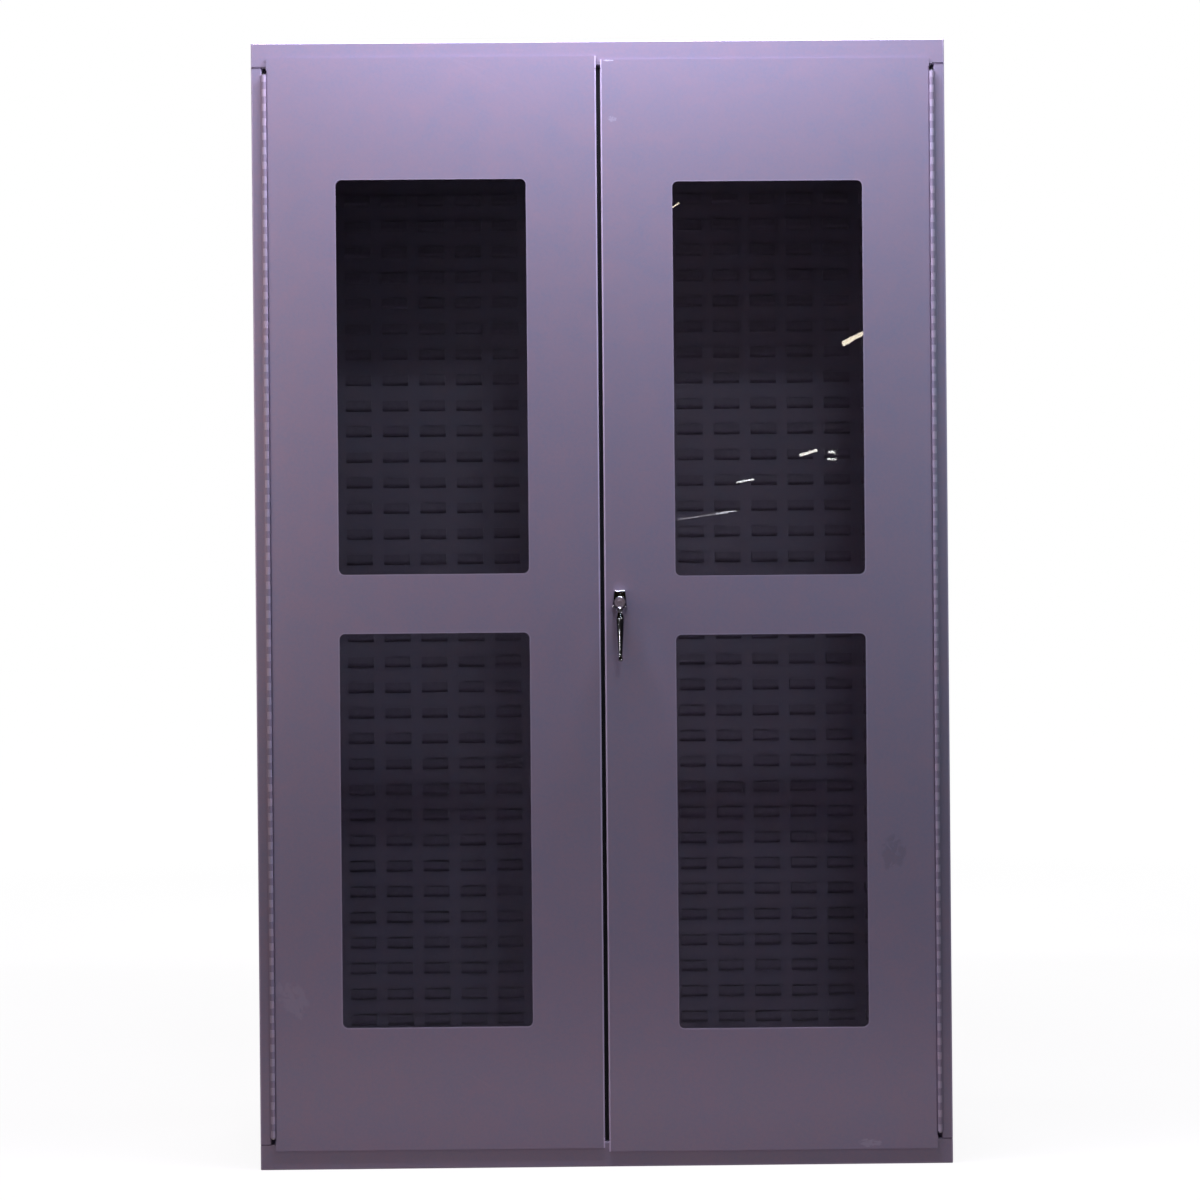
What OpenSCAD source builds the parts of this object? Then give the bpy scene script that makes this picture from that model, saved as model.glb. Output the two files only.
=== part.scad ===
// Welded sheet-steel tool cabinet: two windowed doors on piano hinges, a louvered back
// for hanging bins and a three-point lock. Sizes are in millimetres. The front faces -Y,
// +Z is up, and the origin is on the floor under the middle of the shell. It is drawn
// with the doors shut, the lever hanging down and the lock withdrawn.

/* [Shell] */
// Width over the side sheets
cabinet_w = 1219.2; // [1000:0.1:1530]
// Height over the roof
cabinet_h = 1981.2; // [1600:0.1:2400]
// Depth of the shell, without the doors
cabinet_d = 609.6; // [400:0.1:800]
// Thickness of the shell and door sheet
sheet_t = 1.9; // [1.2:0.1:2.4]
// Inside radius of every bend
bend_r = 1; // [0.6:0.1:1.4]
// Height of the header over the doors and of the sill under them
header_h = 44.5; // [38:0.5:60]
// Depth of the lip turned in under the header
header_lip = 26; // [24:0.5:34]
// Width of the jamb's face beside each door
jamb_w = 19; // [15:0.5:30]
// Depth of the jamb's return, which carries the hinge
jamb_return = 26; // [24:0.5:40]
// Width of the flanges round the back panel
back_flange = 20; // [12:1:40]
// Width of the lips that the shell stands on
foot_lip = 15; // [10:1:30]
// Width of the channel under the floor sheet
channel_w = 80; // [50:1:150]

/* [Doors] */
// Gap between the two doors
door_gap = 7.5; // [5:0.5:10]
// How far the doors lap over the header and the sill
door_lap = 14; // [10:0.5:24]
// Gap between the doors' skins and the header
lap_gap = 0.6; // [0.4:0.1:2]
// Depth of the doors' bent edges
door_depth = 25; // [24:0.5:40]
// Width of the lip behind each door's free edge
door_lip = 15; // [6:0.5:20]
// Gap over and under the doors' bent edges
edge_gap = 5; // [3:0.5:10]
// How much lower the right door hangs than the left one
door_drop = 6.5; // [0:0.5:8]
// Thickness of the door stiffeners and of the strike plate
stiffener_t = 1.5; // [1:0.1:2]
// Width of a stiffener's web
stiffener_web = 26; // [16:1:34]
// Width of each foot of a stiffener
stiffener_foot = 12; // [8:0.5:14]
// Depth of the stiffeners
stiffener_depth = 16; // [10:0.5:20]

/* [Windows] */
// From the door's free edge to its windows
window_free_margin = 125; // [110:1:160]
// From the door's hinged edge to its windows
window_hinge_margin = 120; // [50:1:160]
// From the door's ends to its windows
window_end_margin = 215; // [120:1:300]
// Height of the rail between the windows
window_rail = 104; // [96:1:200]
// Corner radius of the windows
window_r = 10; // [4:0.5:16]
// Thickness of the panes
pane_t = 4.8; // [3:0.1:6]
// How far the panes reach behind the skin
pane_lap = 20; // [16:0.5:22]
// Width of the retainer strips
retainer_w = 18; // [14:0.5:18]
// Thickness of the retainer strips
retainer_t = 1.5; // [1:0.1:2]
// Diameter of the window studs
stud_d = 5; // [4:0.5:6]
// Widest spacing of the window studs
stud_pitch = 180; // [80:5:250]

/* [Hinges] */
// Diameter of the hinge pins
pin_d = 4.76; // [3.5:0.01:6.5]
// Running clearance round the pins, on the radius
pin_clearance = 0.05; // [0.02:0.01:0.1]
// Thickness of the hinge leaves
leaf_t = 1.5; // [1:0.1:2]
// Depth of the hinge leaves, from the pin's axis
leaf_depth = 24; // [16:0.5:24]
// Length of a knuckle with its gap
knuckle_l = 12.7; // [10:0.1:50]
// Gap between two knuckles
knuckle_gap = 0.3; // [0.2:0.1:1]
// How far the hinge axis lies in front of the doors' skins
hinge_proud = 0.7; // [0.4:0.1:1.5]

/* [Louvers] */
// Height from louver to louver
louver_rise = 50.8; // [40:0.1:80]
// Width from louver to louver
louver_run = 73.03; // [64:0.01:110]
// Width of a louver
louver_w = 50.8; // [30:0.1:56]
// Height of a louver
louver_h = 20; // [14:0.5:26]
// How far a louver stands out
louver_depth = 8.4; // [6:0.1:12]
// Height of the lowest louvers over the floor sheet
louver_base = 60; // [20:1:120]
// Thickness of the louvered sheet
louver_t = 1.5; // [1:0.1:2]
// From the back panel to the louvered sheets
louver_standoff = 14; // [8:0.5:40]
// Width of the spacers' legs
spacer_leg = 16; // [8:0.5:20]

/* [Lock] */
// From the right door's free edge to the handle's axis
handle_edge = 26.3; // [25:0.1:32]
// Height of the handle's axis over the right door's middle
handle_rise = 6; // [-15:0.5:15]
// From the handle's axis to the lever's tip
lever_l = 104; // [80:1:140]
// Radius of the lever at its shoulder
lever_r = 8.2; // [7:0.1:9]
// Radius of the lever's round tip
lever_tip_r = 4.6; // [3.5:0.1:6]
// From the handle's axis down to the lever's neck
neck_drop = 13; // [12.6:0.1:15]
// From the escutcheon's face to the lever's middle line
lever_reach = 26; // [20:0.5:40]
// Thickness of the escutcheon
escutcheon_t = 13; // [10:0.5:18]
// Radius of the handle's hub
hub_r = 10.4; // [9.5:0.1:12]
// Radius of the handle's shank in the escutcheon
shank_r = 8; // [7.8:0.05:8.4]
// Side of the shank's squared end
square_w = 9; // [7:0.1:9.5]
// Thickness of the cam
cam_t = 3; // [2:0.1:4]
// Radius from the handle's axis to the cam's pins
cam_pin_run = 14; // [13:0.1:15]
// Radius of the cam's pins
cam_pin_r = 2.5; // [2:0.1:3]
// From the handle's axis to the end of the cam's tongue
tongue_l = 44; // [42:0.5:55]
// Width of the cam's tongue
tongue_w = 14; // [10:0.5:18]
// Width of the lock rods
rod_w = 16; // [15.5:0.1:16.4]
// Thickness of the lock rods
rod_t = 3; // [2:0.1:3.5]
// Gap between the withdrawn rods and the header or sill
rod_gap = 3; // [2:0.5:6]

/* [Hidden] */
$fn = 64;

LEFT = -1;
RIGHT = 1;
LOWER = 0;
UPPER = 1;

// Colours
paint = [0.52, 0.48, 0.58];
dark_paint = [0.36, 0.34, 0.41];
zinc = [0.72, 0.73, 0.75];
chrome = [0.80, 0.81, 0.83];
satin = [0.70, 0.66, 0.68];
nylon = [0.12, 0.12, 0.13];
clear = [0.80, 0.86, 0.90, 0.35];

// Shell
side_x = cabinet_w / 2;
front_y = -cabinet_d / 2;
back_y = cabinet_d / 2;
sill_top = header_h;
header_bottom = cabinet_h - header_h;
opening_h = header_bottom - sill_top;
outer_r = bend_r + sheet_t;
pass = 1; // how far a cut runs past the face that it starts from
fit_gap = 0.5; // gap at the ends of pieces that lie in a bend or beside each other
channel_foot = 15;

// Hinges and doors
skin_back = front_y - lap_gap;
skin_front = skin_back - sheet_t;
knuckle_r = pin_d / 2 + pin_clearance + leaf_t;
hinge_x = side_x - jamb_w - knuckle_r;
hinge_y = skin_front - hinge_proud;
free_x = door_gap / 2;
hinged_x = hinge_x - knuckle_r;
door_bottom = sill_top - door_lap;
door_top = header_bottom + door_lap;
door_mid_z = (door_bottom + door_top) / 2;
edge_bottom = sill_top + edge_gap;
edge_top = header_bottom - edge_gap;
edge_back = skin_front + door_depth;
function drop(side) = -side * door_drop / 2;

// Knuckles: an odd number, so that both ends belong to the frame
hinge_end_gap = 6;
knuckles = 2 * floor(((opening_h - 2 * hinge_end_gap) / knuckle_l - 1) / 2) + 1;
hinge_l = knuckles * knuckle_l;
hinge_bottom = (sill_top + header_bottom - hinge_l) / 2;
leaf_start = sqrt(pow(knuckle_r + knuckle_gap, 2) - pow(knuckle_r - leaf_t, 2));
pin_head_r = 3.4;
pin_head_l = 1.2;

// Windows
window_w = hinged_x - free_x - window_free_margin - window_hinge_margin;
window_h = (door_top - door_bottom - 2 * window_end_margin - window_rail) / 2;
window_x = free_x + window_free_margin + window_w / 2;
function window_z(side, level) =
    door_mid_z + (level == UPPER ? 1 : -1) * (window_rail + window_h) / 2 + drop(side);
pane_w = window_w + 2 * pane_lap;
pane_h = window_h + 2 * pane_lap;
pane_back = skin_back + pane_t;
retainer_back = pane_back + retainer_t;
stud_clearance = 0.5;
thread_clearance = 0.05;
nut_w = 8;
nut_t = 4;
stud_end_inset = 12; // from the ends of the long way round to the first stud

// Places along a strip, evenly spaced and no further apart than the stud pitch
function spread(length, inset) =
    let (gaps = max(1, ceil((length - 2 * inset) / stud_pitch)))
    [for (i = [0:gaps]) -length / 2 + inset + i * (length - 2 * inset) / gaps];
strip_x = (pane_w - retainer_w) / 2;
strip_z = (pane_h - retainer_w) / 2;
side_strip_h = pane_h - 2 * retainer_w - 2 * fit_gap;
stud_places = concat(
    [for (x = spread(pane_w, stud_end_inset), s = [-1, 1]) [x, s * strip_z]],
    [for (z = spread(side_strip_h, 2 * stud_end_inset), s = [-1, 1]) [s * strip_x, z]]
);

// Stiffeners
stiffener_w = stiffener_web + 2 * stiffener_foot;
lock_zone = 70; // from a door's free edge to its stiffeners, left free for the rods

// Louvered panels
panel_front = back_y - 2 * sheet_t - louver_standoff - louver_t;
panel_gap = 1;
panel_edge = side_x - sheet_t - 2;
panel_margin = 10; // least plain sheet round the louvers
louver_wall = 1.2;
louver_slot = 1.5; // height of the slot over a louver
louver_rows =
    floor((opening_h - louver_base - louver_h - panel_margin) / louver_rise) + 1;
louver_columns =
    floor((panel_edge - louver_run / 2 - louver_w / 2 - panel_margin) / louver_run) + 1;

// Lock, from front to back
handle_x = free_x + handle_edge;
handle_z = door_mid_z + drop(RIGHT) + handle_rise;
escutcheon_front = skin_front - escutcheon_t;
turn_gap = 0.3; // between the turning hub and the escutcheon
hub_back = escutcheon_front - turn_gap;
hub_l = 12;
hub_front = hub_back - hub_l;
lever_y = escutcheon_front - lever_reach;
neck_r = 6.6;
collar_r = 11;
collar_l = 7; // behind the door's skin
lock_plate_t = 1.5;
lock_plate_w = 38;
collar_nut_t = 4.5;
collar_nut_w = 28;
cam_front = skin_back + collar_l + 1;
cam_back = cam_front + cam_t;
square_start = skin_back + collar_l + turn_gap;
cam_r = cam_pin_run + cam_pin_r + 3;
rod_front = cam_back + 0.4;
rod_back = rod_front + rod_t;
rod_y = (rod_front + rod_back) / 2;
core_r = 5.8;
core_l = 15;
core_proud = 0.8;
plug_r = 4.2;
plug_l = 12;
keyway_w = 1.4;
keyway_h = 6;

// The cam's pins start 45 degrees below and above the level line, so that the rods are
// moved by the chord of a quarter turn
pin_reach = cam_pin_run * cos(45);
rod_throw = 2 * pin_reach;
rod_x = (cam_pin_run + pin_reach) / 2;
yoke_clearance = 0.55; // takes up the difference between the pin's arc and a steady slide
yoke_h = cam_pin_r + yoke_clearance;
yoke_w = (cam_pin_run - pin_reach) / 2 + cam_pin_r + 0.4;
yoke_wall = 5;
rod_head = pin_reach + yoke_h + yoke_wall;
rod_taper = 4;
rod_hole_clearance = 0.9;
guide_wall = 2.5;
guide_clearance = 0.3;
guide_h = 24;
guide_lever_gap = 120; // from the handle's axis to the nearer guides
guide_end_gap = 60; // from the header or sill to the further guides
latch_clearance = 2;
latch_top = sqrt(pow(tongue_l, 2) + pow(tongue_w / 2, 2) - pow(handle_edge - sheet_t, 2))
    + latch_clearance;

// ---------- Drawing helpers ----------

// Extrudes a front view, drawn in X and Z, from one depth to another
module front_view(from_y, to_y) {
    translate([0, to_y, 0]) rotate([90, 0, 0]) linear_extrude(to_y - from_y) children();
}

// Extrudes a side view, drawn in Y and Z, from one width to another
module side_view(from_x, to_x) {
    translate([from_x, 0, 0]) rotate([90, 0, 90]) linear_extrude(to_x - from_x) children();
}

// Extrudes a plan, drawn in X and Y, from one height to another
module plan_view(from_z, to_z) {
    translate([0, 0, from_z]) linear_extrude(to_z - from_z) children();
}

// A box between two opposite corners
module box(low, high) {
    translate(low) cube(high - low);
}

// Draws a right-hand piece on its own side
module on_side(side) {
    mirror([side == LEFT ? 1 : 0, 0, 0]) children();
}

// Moves a piece to the handle's axis
module at_handle() {
    translate([handle_x, 0, handle_z]) children();
}

function unit(v) = v / norm(v);

// Section of a bent sheet. The path runs along the middle of the sheet with square
// corners, and each corner becomes a round bend.
module bent_sheet(path, t = sheet_t) {
    r = bend_r + t / 2;
    last = len(path) - 1;
    for (i = [0:last - 1]) {
        step = path[i + 1] - path[i];
        start = i == 0 ? 0 : r;
        end = i == last - 1 ? 0 : r;
        translate(path[i]) rotate(atan2(step.y, step.x)) translate([start, -t / 2])
            square([norm(step) - start - end, t]);
    }
    for (i = [1:last - 1]) {
        u = unit(path[i] - path[i - 1]);
        v = unit(path[i + 1] - path[i]);
        reach = r + t;
        translate(path[i] - r * u + r * v) intersection() {
            difference() {
                circle(r + t / 2);
                circle(r - t / 2);
            }
            polygon([[0, 0], reach * u, reach * (u - v), -reach * v]);
        }
    }
}

// Rectangle between two corners, rounded by four radii: low left, low right, high
// right and high left
module rounded_rect(low, high, radii) {
    corners = [low, [high.x, low.y], high, [low.x, high.y]];
    inward = [[1, 1], [-1, 1], [-1, -1], [1, -1]];
    difference() {
        translate(low) square(high - low);
        for (i = [0:3]) {
            r = radii[i];
            if (r > 0) translate(corners[i] + r * inward[i]) difference() {
                translate([inward[i].x > 0 ? -r - pass : 0, inward[i].y > 0 ? -r - pass : 0])
                    square(r + pass);
                circle(r);
            }
        }
    }
}

// Rectangle round the origin with four equal corners
module round_plate(w, h, r) {
    rounded_rect([-w / 2, -h / 2], [w / 2, h / 2], [r, r, r, r]);
}

// A slot along X with round ends, from end to end
module slot(length, r) {
    square([length - 2 * r, 2 * r], center = true);
    for (s = [-1, 1]) translate([s * (length / 2 - r), 0]) circle(r);
}

// ---------- Shell ----------

// A block in the shell's plan, set in from its faces. Its upper edges and its upright
// edges are rounded, and its lower edges at the front and back, and at the sides, may be.
module shell_block(inset, low_z, high_z, r, front_r, rear_r, side_r) {
    x = side_x - inset;
    y = back_y - inset;
    intersection() {
        side_view(-x, x) rounded_rect([-y, low_z], [y, high_z], [front_r, rear_r, r, r]);
        front_view(-y, y) rounded_rect([-x, low_z], [x, high_z], [side_r, side_r, r, r]);
        plan_view(low_z, high_z) round_plate(2 * x, 2 * y, r);
    }
}

// The hole that a lock rod slides through, drawn in plan
module rod_hole(x) {
    translate([x, rod_y]) square([rod_w, rod_t] + 2 * rod_hole_clearance * [1, 1], center = true);
}

module top_pan() {
    color(paint) difference() {
        shell_block(0, header_bottom, cabinet_h, outer_r, outer_r, 0, 0);
        shell_block(sheet_t, header_bottom + sheet_t, cabinet_h - sheet_t, bend_r, bend_r, 0, 0);
        plan_view(header_bottom - pass, header_bottom + sheet_t + pass) difference() {
            round_plate(cabinet_w - 2 * sheet_t, cabinet_d - 2 * sheet_t, bend_r);
            translate([-side_x, front_y]) square([cabinet_w, header_lip]);
        }
        plan_view(header_bottom - pass, header_bottom + sheet_t + pass)
            rod_hole(handle_x + rod_x);
    }
}

module bottom_pan() {
    color(paint) difference() {
        shell_block(0, 0, sill_top, outer_r, outer_r, outer_r, outer_r);
        shell_block(sheet_t, sheet_t, sill_top - sheet_t, bend_r, bend_r, bend_r, bend_r);
        plan_view(-pass, sheet_t + pass)
            square([cabinet_w - 2 * foot_lip, cabinet_d - 2 * foot_lip], center = true);
        plan_view(sill_top - sheet_t - pass, sill_top + pass) rod_hole(handle_x - rod_x);
    }
}

// Side sheet with the jamb in front and the flange behind
module side_panel(side) {
    middle = sheet_t / 2;
    color(paint) on_side(side) plan_view(sill_top, header_bottom) bent_sheet([
        [side_x - jamb_w + middle, front_y + jamb_return],
        [side_x - jamb_w + middle, front_y + middle],
        [side_x - middle, front_y + middle],
        [side_x - middle, back_y - middle],
        [side_x - back_flange, back_y - middle]
    ]);
}

module left_side() { side_panel(LEFT); }
module right_side() { side_panel(RIGHT); }

module back_panel() {
    half = side_x - sheet_t - bend_r - fit_gap;
    color(paint) box(
        [-half, back_y - 2 * sheet_t, sill_top],
        [half, back_y - sheet_t, header_bottom + back_flange]
    );
}

// Hat-shaped channel that stiffens the floor sheet and stands on the floor
module floor_channel() {
    foot_z = sill_top - 1.5 * sheet_t;
    web_z = sheet_t / 2;
    wall = channel_w / 2;
    end_y = back_y - foot_lip - 2;
    color(paint) front_view(-end_y, end_y) bent_sheet([
        [-wall - channel_foot, foot_z],
        [-wall, foot_z],
        [-wall, web_z],
        [wall, web_z],
        [wall, foot_z],
        [wall + channel_foot, foot_z]
    ]);
}

// ---------- Louvered panels ----------

// One column of louvers of the given width, each with the child as its side view
module louver_column(w) {
    side_view(-w / 2, w / 2) for (row = [0:louver_rows - 1])
        translate([panel_front, sill_top + louver_base + row * louver_rise]) children();
}

// Side view of a louver: a quarter round at the foot and a straight face above it
module louver_outline() {
    translate([-louver_depth, louver_depth]) square([louver_depth, louver_h - louver_depth]);
    intersection() {
        translate([0, louver_depth]) circle(louver_depth);
        translate([-louver_depth, 0]) square(louver_depth);
    }
}

// Side view of the space inside a louver, open at the top and through the sheet
module louver_hollow() {
    r = louver_depth - louver_wall;
    translate([-r, louver_depth])
        square([r + louver_t + pass, louver_h + louver_slot - louver_depth]);
    translate([0, louver_wall]) square([louver_t + pass, r + pass]);
    intersection() {
        translate([0, louver_depth]) circle(r);
        translate([-r, louver_wall]) square(r);
    }
}

module louver_panel(side) {
    color(dark_paint) on_side(side) difference() {
        union() {
            box(
                [panel_gap / 2, panel_front, sill_top],
                [panel_edge, panel_front + louver_t, header_bottom]
            );
            for (column = [0:louver_columns - 1])
                translate([(column + 0.5) * louver_run, 0, 0])
                    louver_column(louver_w) louver_outline();
        }
        for (column = [0:louver_columns - 1])
            translate([(column + 0.5) * louver_run, 0, 0])
                louver_column(louver_w - 2 * louver_wall) louver_hollow();
    }
}

module left_louver_panel() { louver_panel(LEFT); }
module right_louver_panel() { louver_panel(RIGHT); }

// Uprights between the back panel and the louvered sheets: a bent strip behind each
// outer edge, and a hat channel where the two sheets meet
module panel_spacers() {
    middle = louver_t / 2;
    front = panel_front + louver_t + middle;
    back = back_y - 2 * sheet_t - middle;
    web = spacer_leg / 2;
    color(dark_paint) plan_view(sill_top, header_bottom) {
        for (side = [LEFT, RIGHT]) on_side(side) bent_sheet([
            [panel_edge - 2 * spacer_leg + louver_t, back],
            [panel_edge - spacer_leg + middle, back],
            [panel_edge - spacer_leg + middle, front],
            [panel_edge, front]
        ], louver_t);
        bent_sheet([
            [-web - spacer_leg, back],
            [-web, back],
            [-web, front],
            [web, front],
            [web, back],
            [web + spacer_leg, back]
        ], louver_t);
    }
}

// ---------- Hinges ----------

// One leaf, drawn round the pin's axis with its plate on the +X side. It has every
// second knuckle, from the given one on.
module hinge_leaf(first) {
    plate_x = knuckle_r - leaf_t;
    for (k = [first:2:knuckles - 1]) {
        low = hinge_bottom + k * knuckle_l + knuckle_gap / 2;
        plan_view(low, low + knuckle_l - knuckle_gap) difference() {
            union() {
                circle(knuckle_r);
                translate([plate_x, 1]) square([leaf_t, leaf_start]);
            }
            circle(pin_d / 2 + pin_clearance);
        }
    }
    plan_view(hinge_bottom, hinge_bottom + hinge_l)
        translate([plate_x, leaf_start]) square([leaf_t, leaf_depth - leaf_start]);
}

module frame_leaf(side) {
    color(paint) on_side(side) translate([hinge_x, hinge_y, 0]) hinge_leaf(0);
}

module door_leaf(side) {
    color(paint) on_side(side) translate([hinge_x, hinge_y, 0]) mirror([1, 0, 0]) hinge_leaf(1);
}

// Pin with a peened head at each end
module hinge_pin(side) {
    color(zinc) on_side(side) translate([hinge_x, hinge_y, hinge_bottom - knuckle_gap]) {
        cylinder(h = hinge_l + 2 * knuckle_gap, d = pin_d);
        translate([0, 0, -pin_head_l]) cylinder(h = pin_head_l, r = pin_head_r);
        translate([0, 0, hinge_l + 2 * knuckle_gap]) cylinder(h = pin_head_l, r = pin_head_r);
    }
}

module left_frame_leaf() { frame_leaf(LEFT); }
module right_frame_leaf() { frame_leaf(RIGHT); }
module left_door_leaf() { door_leaf(LEFT); }
module right_door_leaf() { door_leaf(RIGHT); }
module left_hinge_pin() { hinge_pin(LEFT); }
module right_hinge_pin() { hinge_pin(RIGHT); }

// ---------- Doors ----------

// The hole that the cam's tongue turns through, in the free edge of both doors and in
// the strike plate
module latch_slot(depth) {
    box(
        [free_x - pass, cam_front - latch_clearance, handle_z - tongue_w / 2 - latch_clearance],
        [free_x + depth + pass, cam_back + latch_clearance, handle_z + latch_top]
    );
}

// Skin with both edges bent back. The skin runs past its bent edges at the top and the
// bottom, where it laps over the header and the sill.
module door_pan(side) {
    middle = sheet_t / 2;
    bottom = door_bottom + drop(side);
    top = door_top + drop(side);
    color(paint) on_side(side) difference() {
        union() {
            plan_view(edge_bottom, edge_top) bent_sheet([
                [free_x + door_lip, edge_back - middle],
                [free_x + middle, edge_back - middle],
                [free_x + middle, skin_front + middle],
                [hinged_x - middle, skin_front + middle],
                [hinged_x - middle, edge_back]
            ]);
            box([free_x, skin_front, bottom], [hinged_x, skin_back, edge_bottom]);
            box([free_x, skin_front, edge_top], [hinged_x, skin_back, top]);
        }
        for (level = [LOWER, UPPER]) translate([window_x, 0, window_z(side, level)])
            front_view(skin_front - pass, skin_back + pass)
                round_plate(window_w, window_h, window_r);
        latch_slot(sheet_t);
        if (side == RIGHT) at_handle()
            front_view(skin_front - pass, skin_back + pass) circle(collar_r + 0.3);
    }
}

module left_door_pan() { door_pan(LEFT); }
module right_door_pan() { door_pan(RIGHT); }

// Three level hat channels behind the skin: under the header, on the rail between the
// windows and over the sill
module door_stiffeners(side) {
    front = skin_back + stiffener_t / 2;
    back = skin_back + stiffener_depth - stiffener_t / 2;
    foot = stiffener_w / 2;
    web = stiffener_web / 2;
    end_z = edge_gap + foot;
    levels = [edge_bottom + end_z, door_mid_z + drop(side), edge_top - end_z];
    color(paint) on_side(side) for (z = levels) translate([0, 0, z])
        side_view(free_x + lock_zone, hinged_x - sheet_t - bend_r - fit_gap) bent_sheet([
            [front, -foot],
            [front, -web],
            [back, -web],
            [back, web],
            [front, web],
            [front, foot]
        ], stiffener_t);
}

module left_door_stiffeners() { door_stiffeners(LEFT); }
module right_door_stiffeners() { door_stiffeners(RIGHT); }

module strike_plate() {
    bend = bend_r + fit_gap;
    margin = 15;
    color(zinc) on_side(LEFT) difference() {
        box(
            [free_x + sheet_t, skin_back + bend, handle_z - tongue_w / 2 - margin],
            [
                free_x + sheet_t + stiffener_t,
                edge_back - sheet_t - bend,
                handle_z + latch_top + margin
            ]
        );
        latch_slot(sheet_t + stiffener_t);
    }
}

// ---------- Windows ----------

// Moves a piece to the middle of a window
module at_window(side, level) {
    on_side(side) translate([window_x, 0, window_z(side, level)]) children();
}

// Round holes or posts at every stud's place
module at_studs(from_y, to_y, r) {
    front_view(from_y, to_y) for (place = stud_places) translate(place) circle(r, $fn = 24);
}

module pane(side, level) {
    color(clear) at_window(side, level) difference() {
        front_view(skin_back, pane_back) square([pane_w, pane_h], center = true);
        at_studs(skin_back - pass, pane_back + pass, stud_d / 2 + stud_clearance);
    }
}

module left_upper_pane() { pane(LEFT, UPPER); }
module left_lower_pane() { pane(LEFT, LOWER); }
module right_upper_pane() { pane(RIGHT, UPPER); }
module right_lower_pane() { pane(RIGHT, LOWER); }

// Four flat strips that clamp a pane against the skin
module retainers(side, level) {
    color(paint) at_window(side, level) difference() {
        front_view(pane_back, retainer_back) for (s = [-1, 1]) {
            translate([0, s * strip_z]) square([pane_w, retainer_w], center = true);
            translate([s * strip_x, 0]) square([retainer_w, side_strip_h], center = true);
        }
        at_studs(pane_back - pass, retainer_back + pass, stud_d / 2 + stud_clearance);
    }
}

module left_upper_retainers() { retainers(LEFT, UPPER); }
module left_lower_retainers() { retainers(LEFT, LOWER); }
module right_upper_retainers() { retainers(RIGHT, UPPER); }
module right_lower_retainers() { retainers(RIGHT, LOWER); }

// Studs welded to the back of the skin
module window_studs(side) {
    color(zinc) for (level = [LOWER, UPPER]) at_window(side, level)
        at_studs(skin_back, retainer_back + nut_t + 1.5, stud_d / 2);
}

module left_window_studs() { window_studs(LEFT); }
module right_window_studs() { window_studs(RIGHT); }

module window_nuts(side) {
    color(zinc) for (level = [LOWER, UPPER]) at_window(side, level)
        front_view(retainer_back, retainer_back + nut_t) for (place = stud_places)
            translate(place) difference() {
                circle(nut_w / 2 / cos(30), $fn = 6);
                circle(stud_d / 2 + thread_clearance, $fn = 24);
            }
}

module left_window_nuts() { window_nuts(LEFT); }
module right_window_nuts() { window_nuts(RIGHT); }

// ---------- Lock ----------

// Outline of the escutcheon's foot or face, narrower at the top
module escutcheon_outline(inset) {
    half_low = 13.6 - inset;
    half_high = 11 - inset;
    low = -11.8 + inset;
    high = 22 - inset;
    r = 3;
    hull() {
        for (s = [-1, 1]) {
            translate([s * (half_low - r), low + r]) circle(r, $fn = 32);
            translate([s * (half_high - r), high - r]) circle(r, $fn = 32);
        }
    }
}

// Cast housing with a bevelled face, and a threaded collar through the door's skin
module escutcheon() {
    foot_t = 6;
    bevel = 3;
    color(chrome) at_handle() difference() {
        union() {
            hull() {
                front_view(skin_front - foot_t, skin_front) escutcheon_outline(0);
                front_view(escutcheon_front, escutcheon_front + 1) escutcheon_outline(bevel);
            }
            front_view(skin_front - 1, skin_back + collar_l) circle(collar_r);
        }
        front_view(escutcheon_front - pass, skin_back + collar_l + pass)
            circle(shank_r + pin_clearance);
    }
}

module lock_plate() {
    color(zinc) at_handle() front_view(skin_back, skin_back + lock_plate_t) difference() {
        round_plate(lock_plate_w, lock_plate_w, 4);
        circle(collar_r + 0.3);
    }
}

module collar_nut() {
    front = skin_back + lock_plate_t;
    color(zinc) at_handle() front_view(front, front + collar_nut_t) difference() {
        circle(collar_nut_w / 2 / cos(30), $fn = 6);
        circle(collar_r + thread_clearance);
    }
}

// Half of the lever's section along its own axis: the root inside the neck, the
// shoulder, the tapered grip and the round tip
module lever_profile() {
    tip_z = lever_tip_r - lever_l;
    polygon([
        [0, 0],
        [5.6, 0],
        [5.6, -neck_drop + 6],
        [lever_r - 1.2, -neck_drop + 3],
        [lever_r, -neck_drop],
        [lever_tip_r - 0.8, tip_z + neck_drop],
        [0, tip_z + neck_drop]
    ]);
    translate([0, tip_z + neck_drop]) intersection() {
        circle(lever_tip_r);
        translate([0, -lever_tip_r]) square([lever_tip_r, 2 * lever_tip_r]);
    }
}

// Half of the neck's section: a straight stem with a round end
module neck_profile(stem) {
    square([neck_r, stem]);
    translate([0, stem]) intersection() {
        circle(neck_r);
        square(neck_r);
    }
}

// Lever, hub and shank in one casting. The shank is bored for the lock core in front
// and for the cam's screw behind.
module handle() {
    color(chrome) at_handle() difference() {
        union() {
            front_view(hub_front, hub_back) {
                circle(hub_r);
                translate([0, -neck_drop]) circle(neck_r + 1);
                translate([-neck_r - 1, -neck_drop]) square([2 * neck_r + 2, neck_drop]);
            }
            translate([0, hub_front + 2, -neck_drop]) rotate([90, 0, 0])
                rotate_extrude() neck_profile(hub_front + 2 - lever_y);
            translate([0, lever_y, -neck_drop]) rotate_extrude() lever_profile();
            front_view(hub_back - 1, square_start) circle(shank_r);
            front_view(square_start - 1, cam_back - 0.1) square(square_w, center = true);
        }
        front_view(hub_front - pass, hub_front + core_l + 1) circle(core_r + thread_clearance);
        front_view(cam_back - 12, cam_back + pass) circle(2 + thread_clearance);
    }
}

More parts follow.
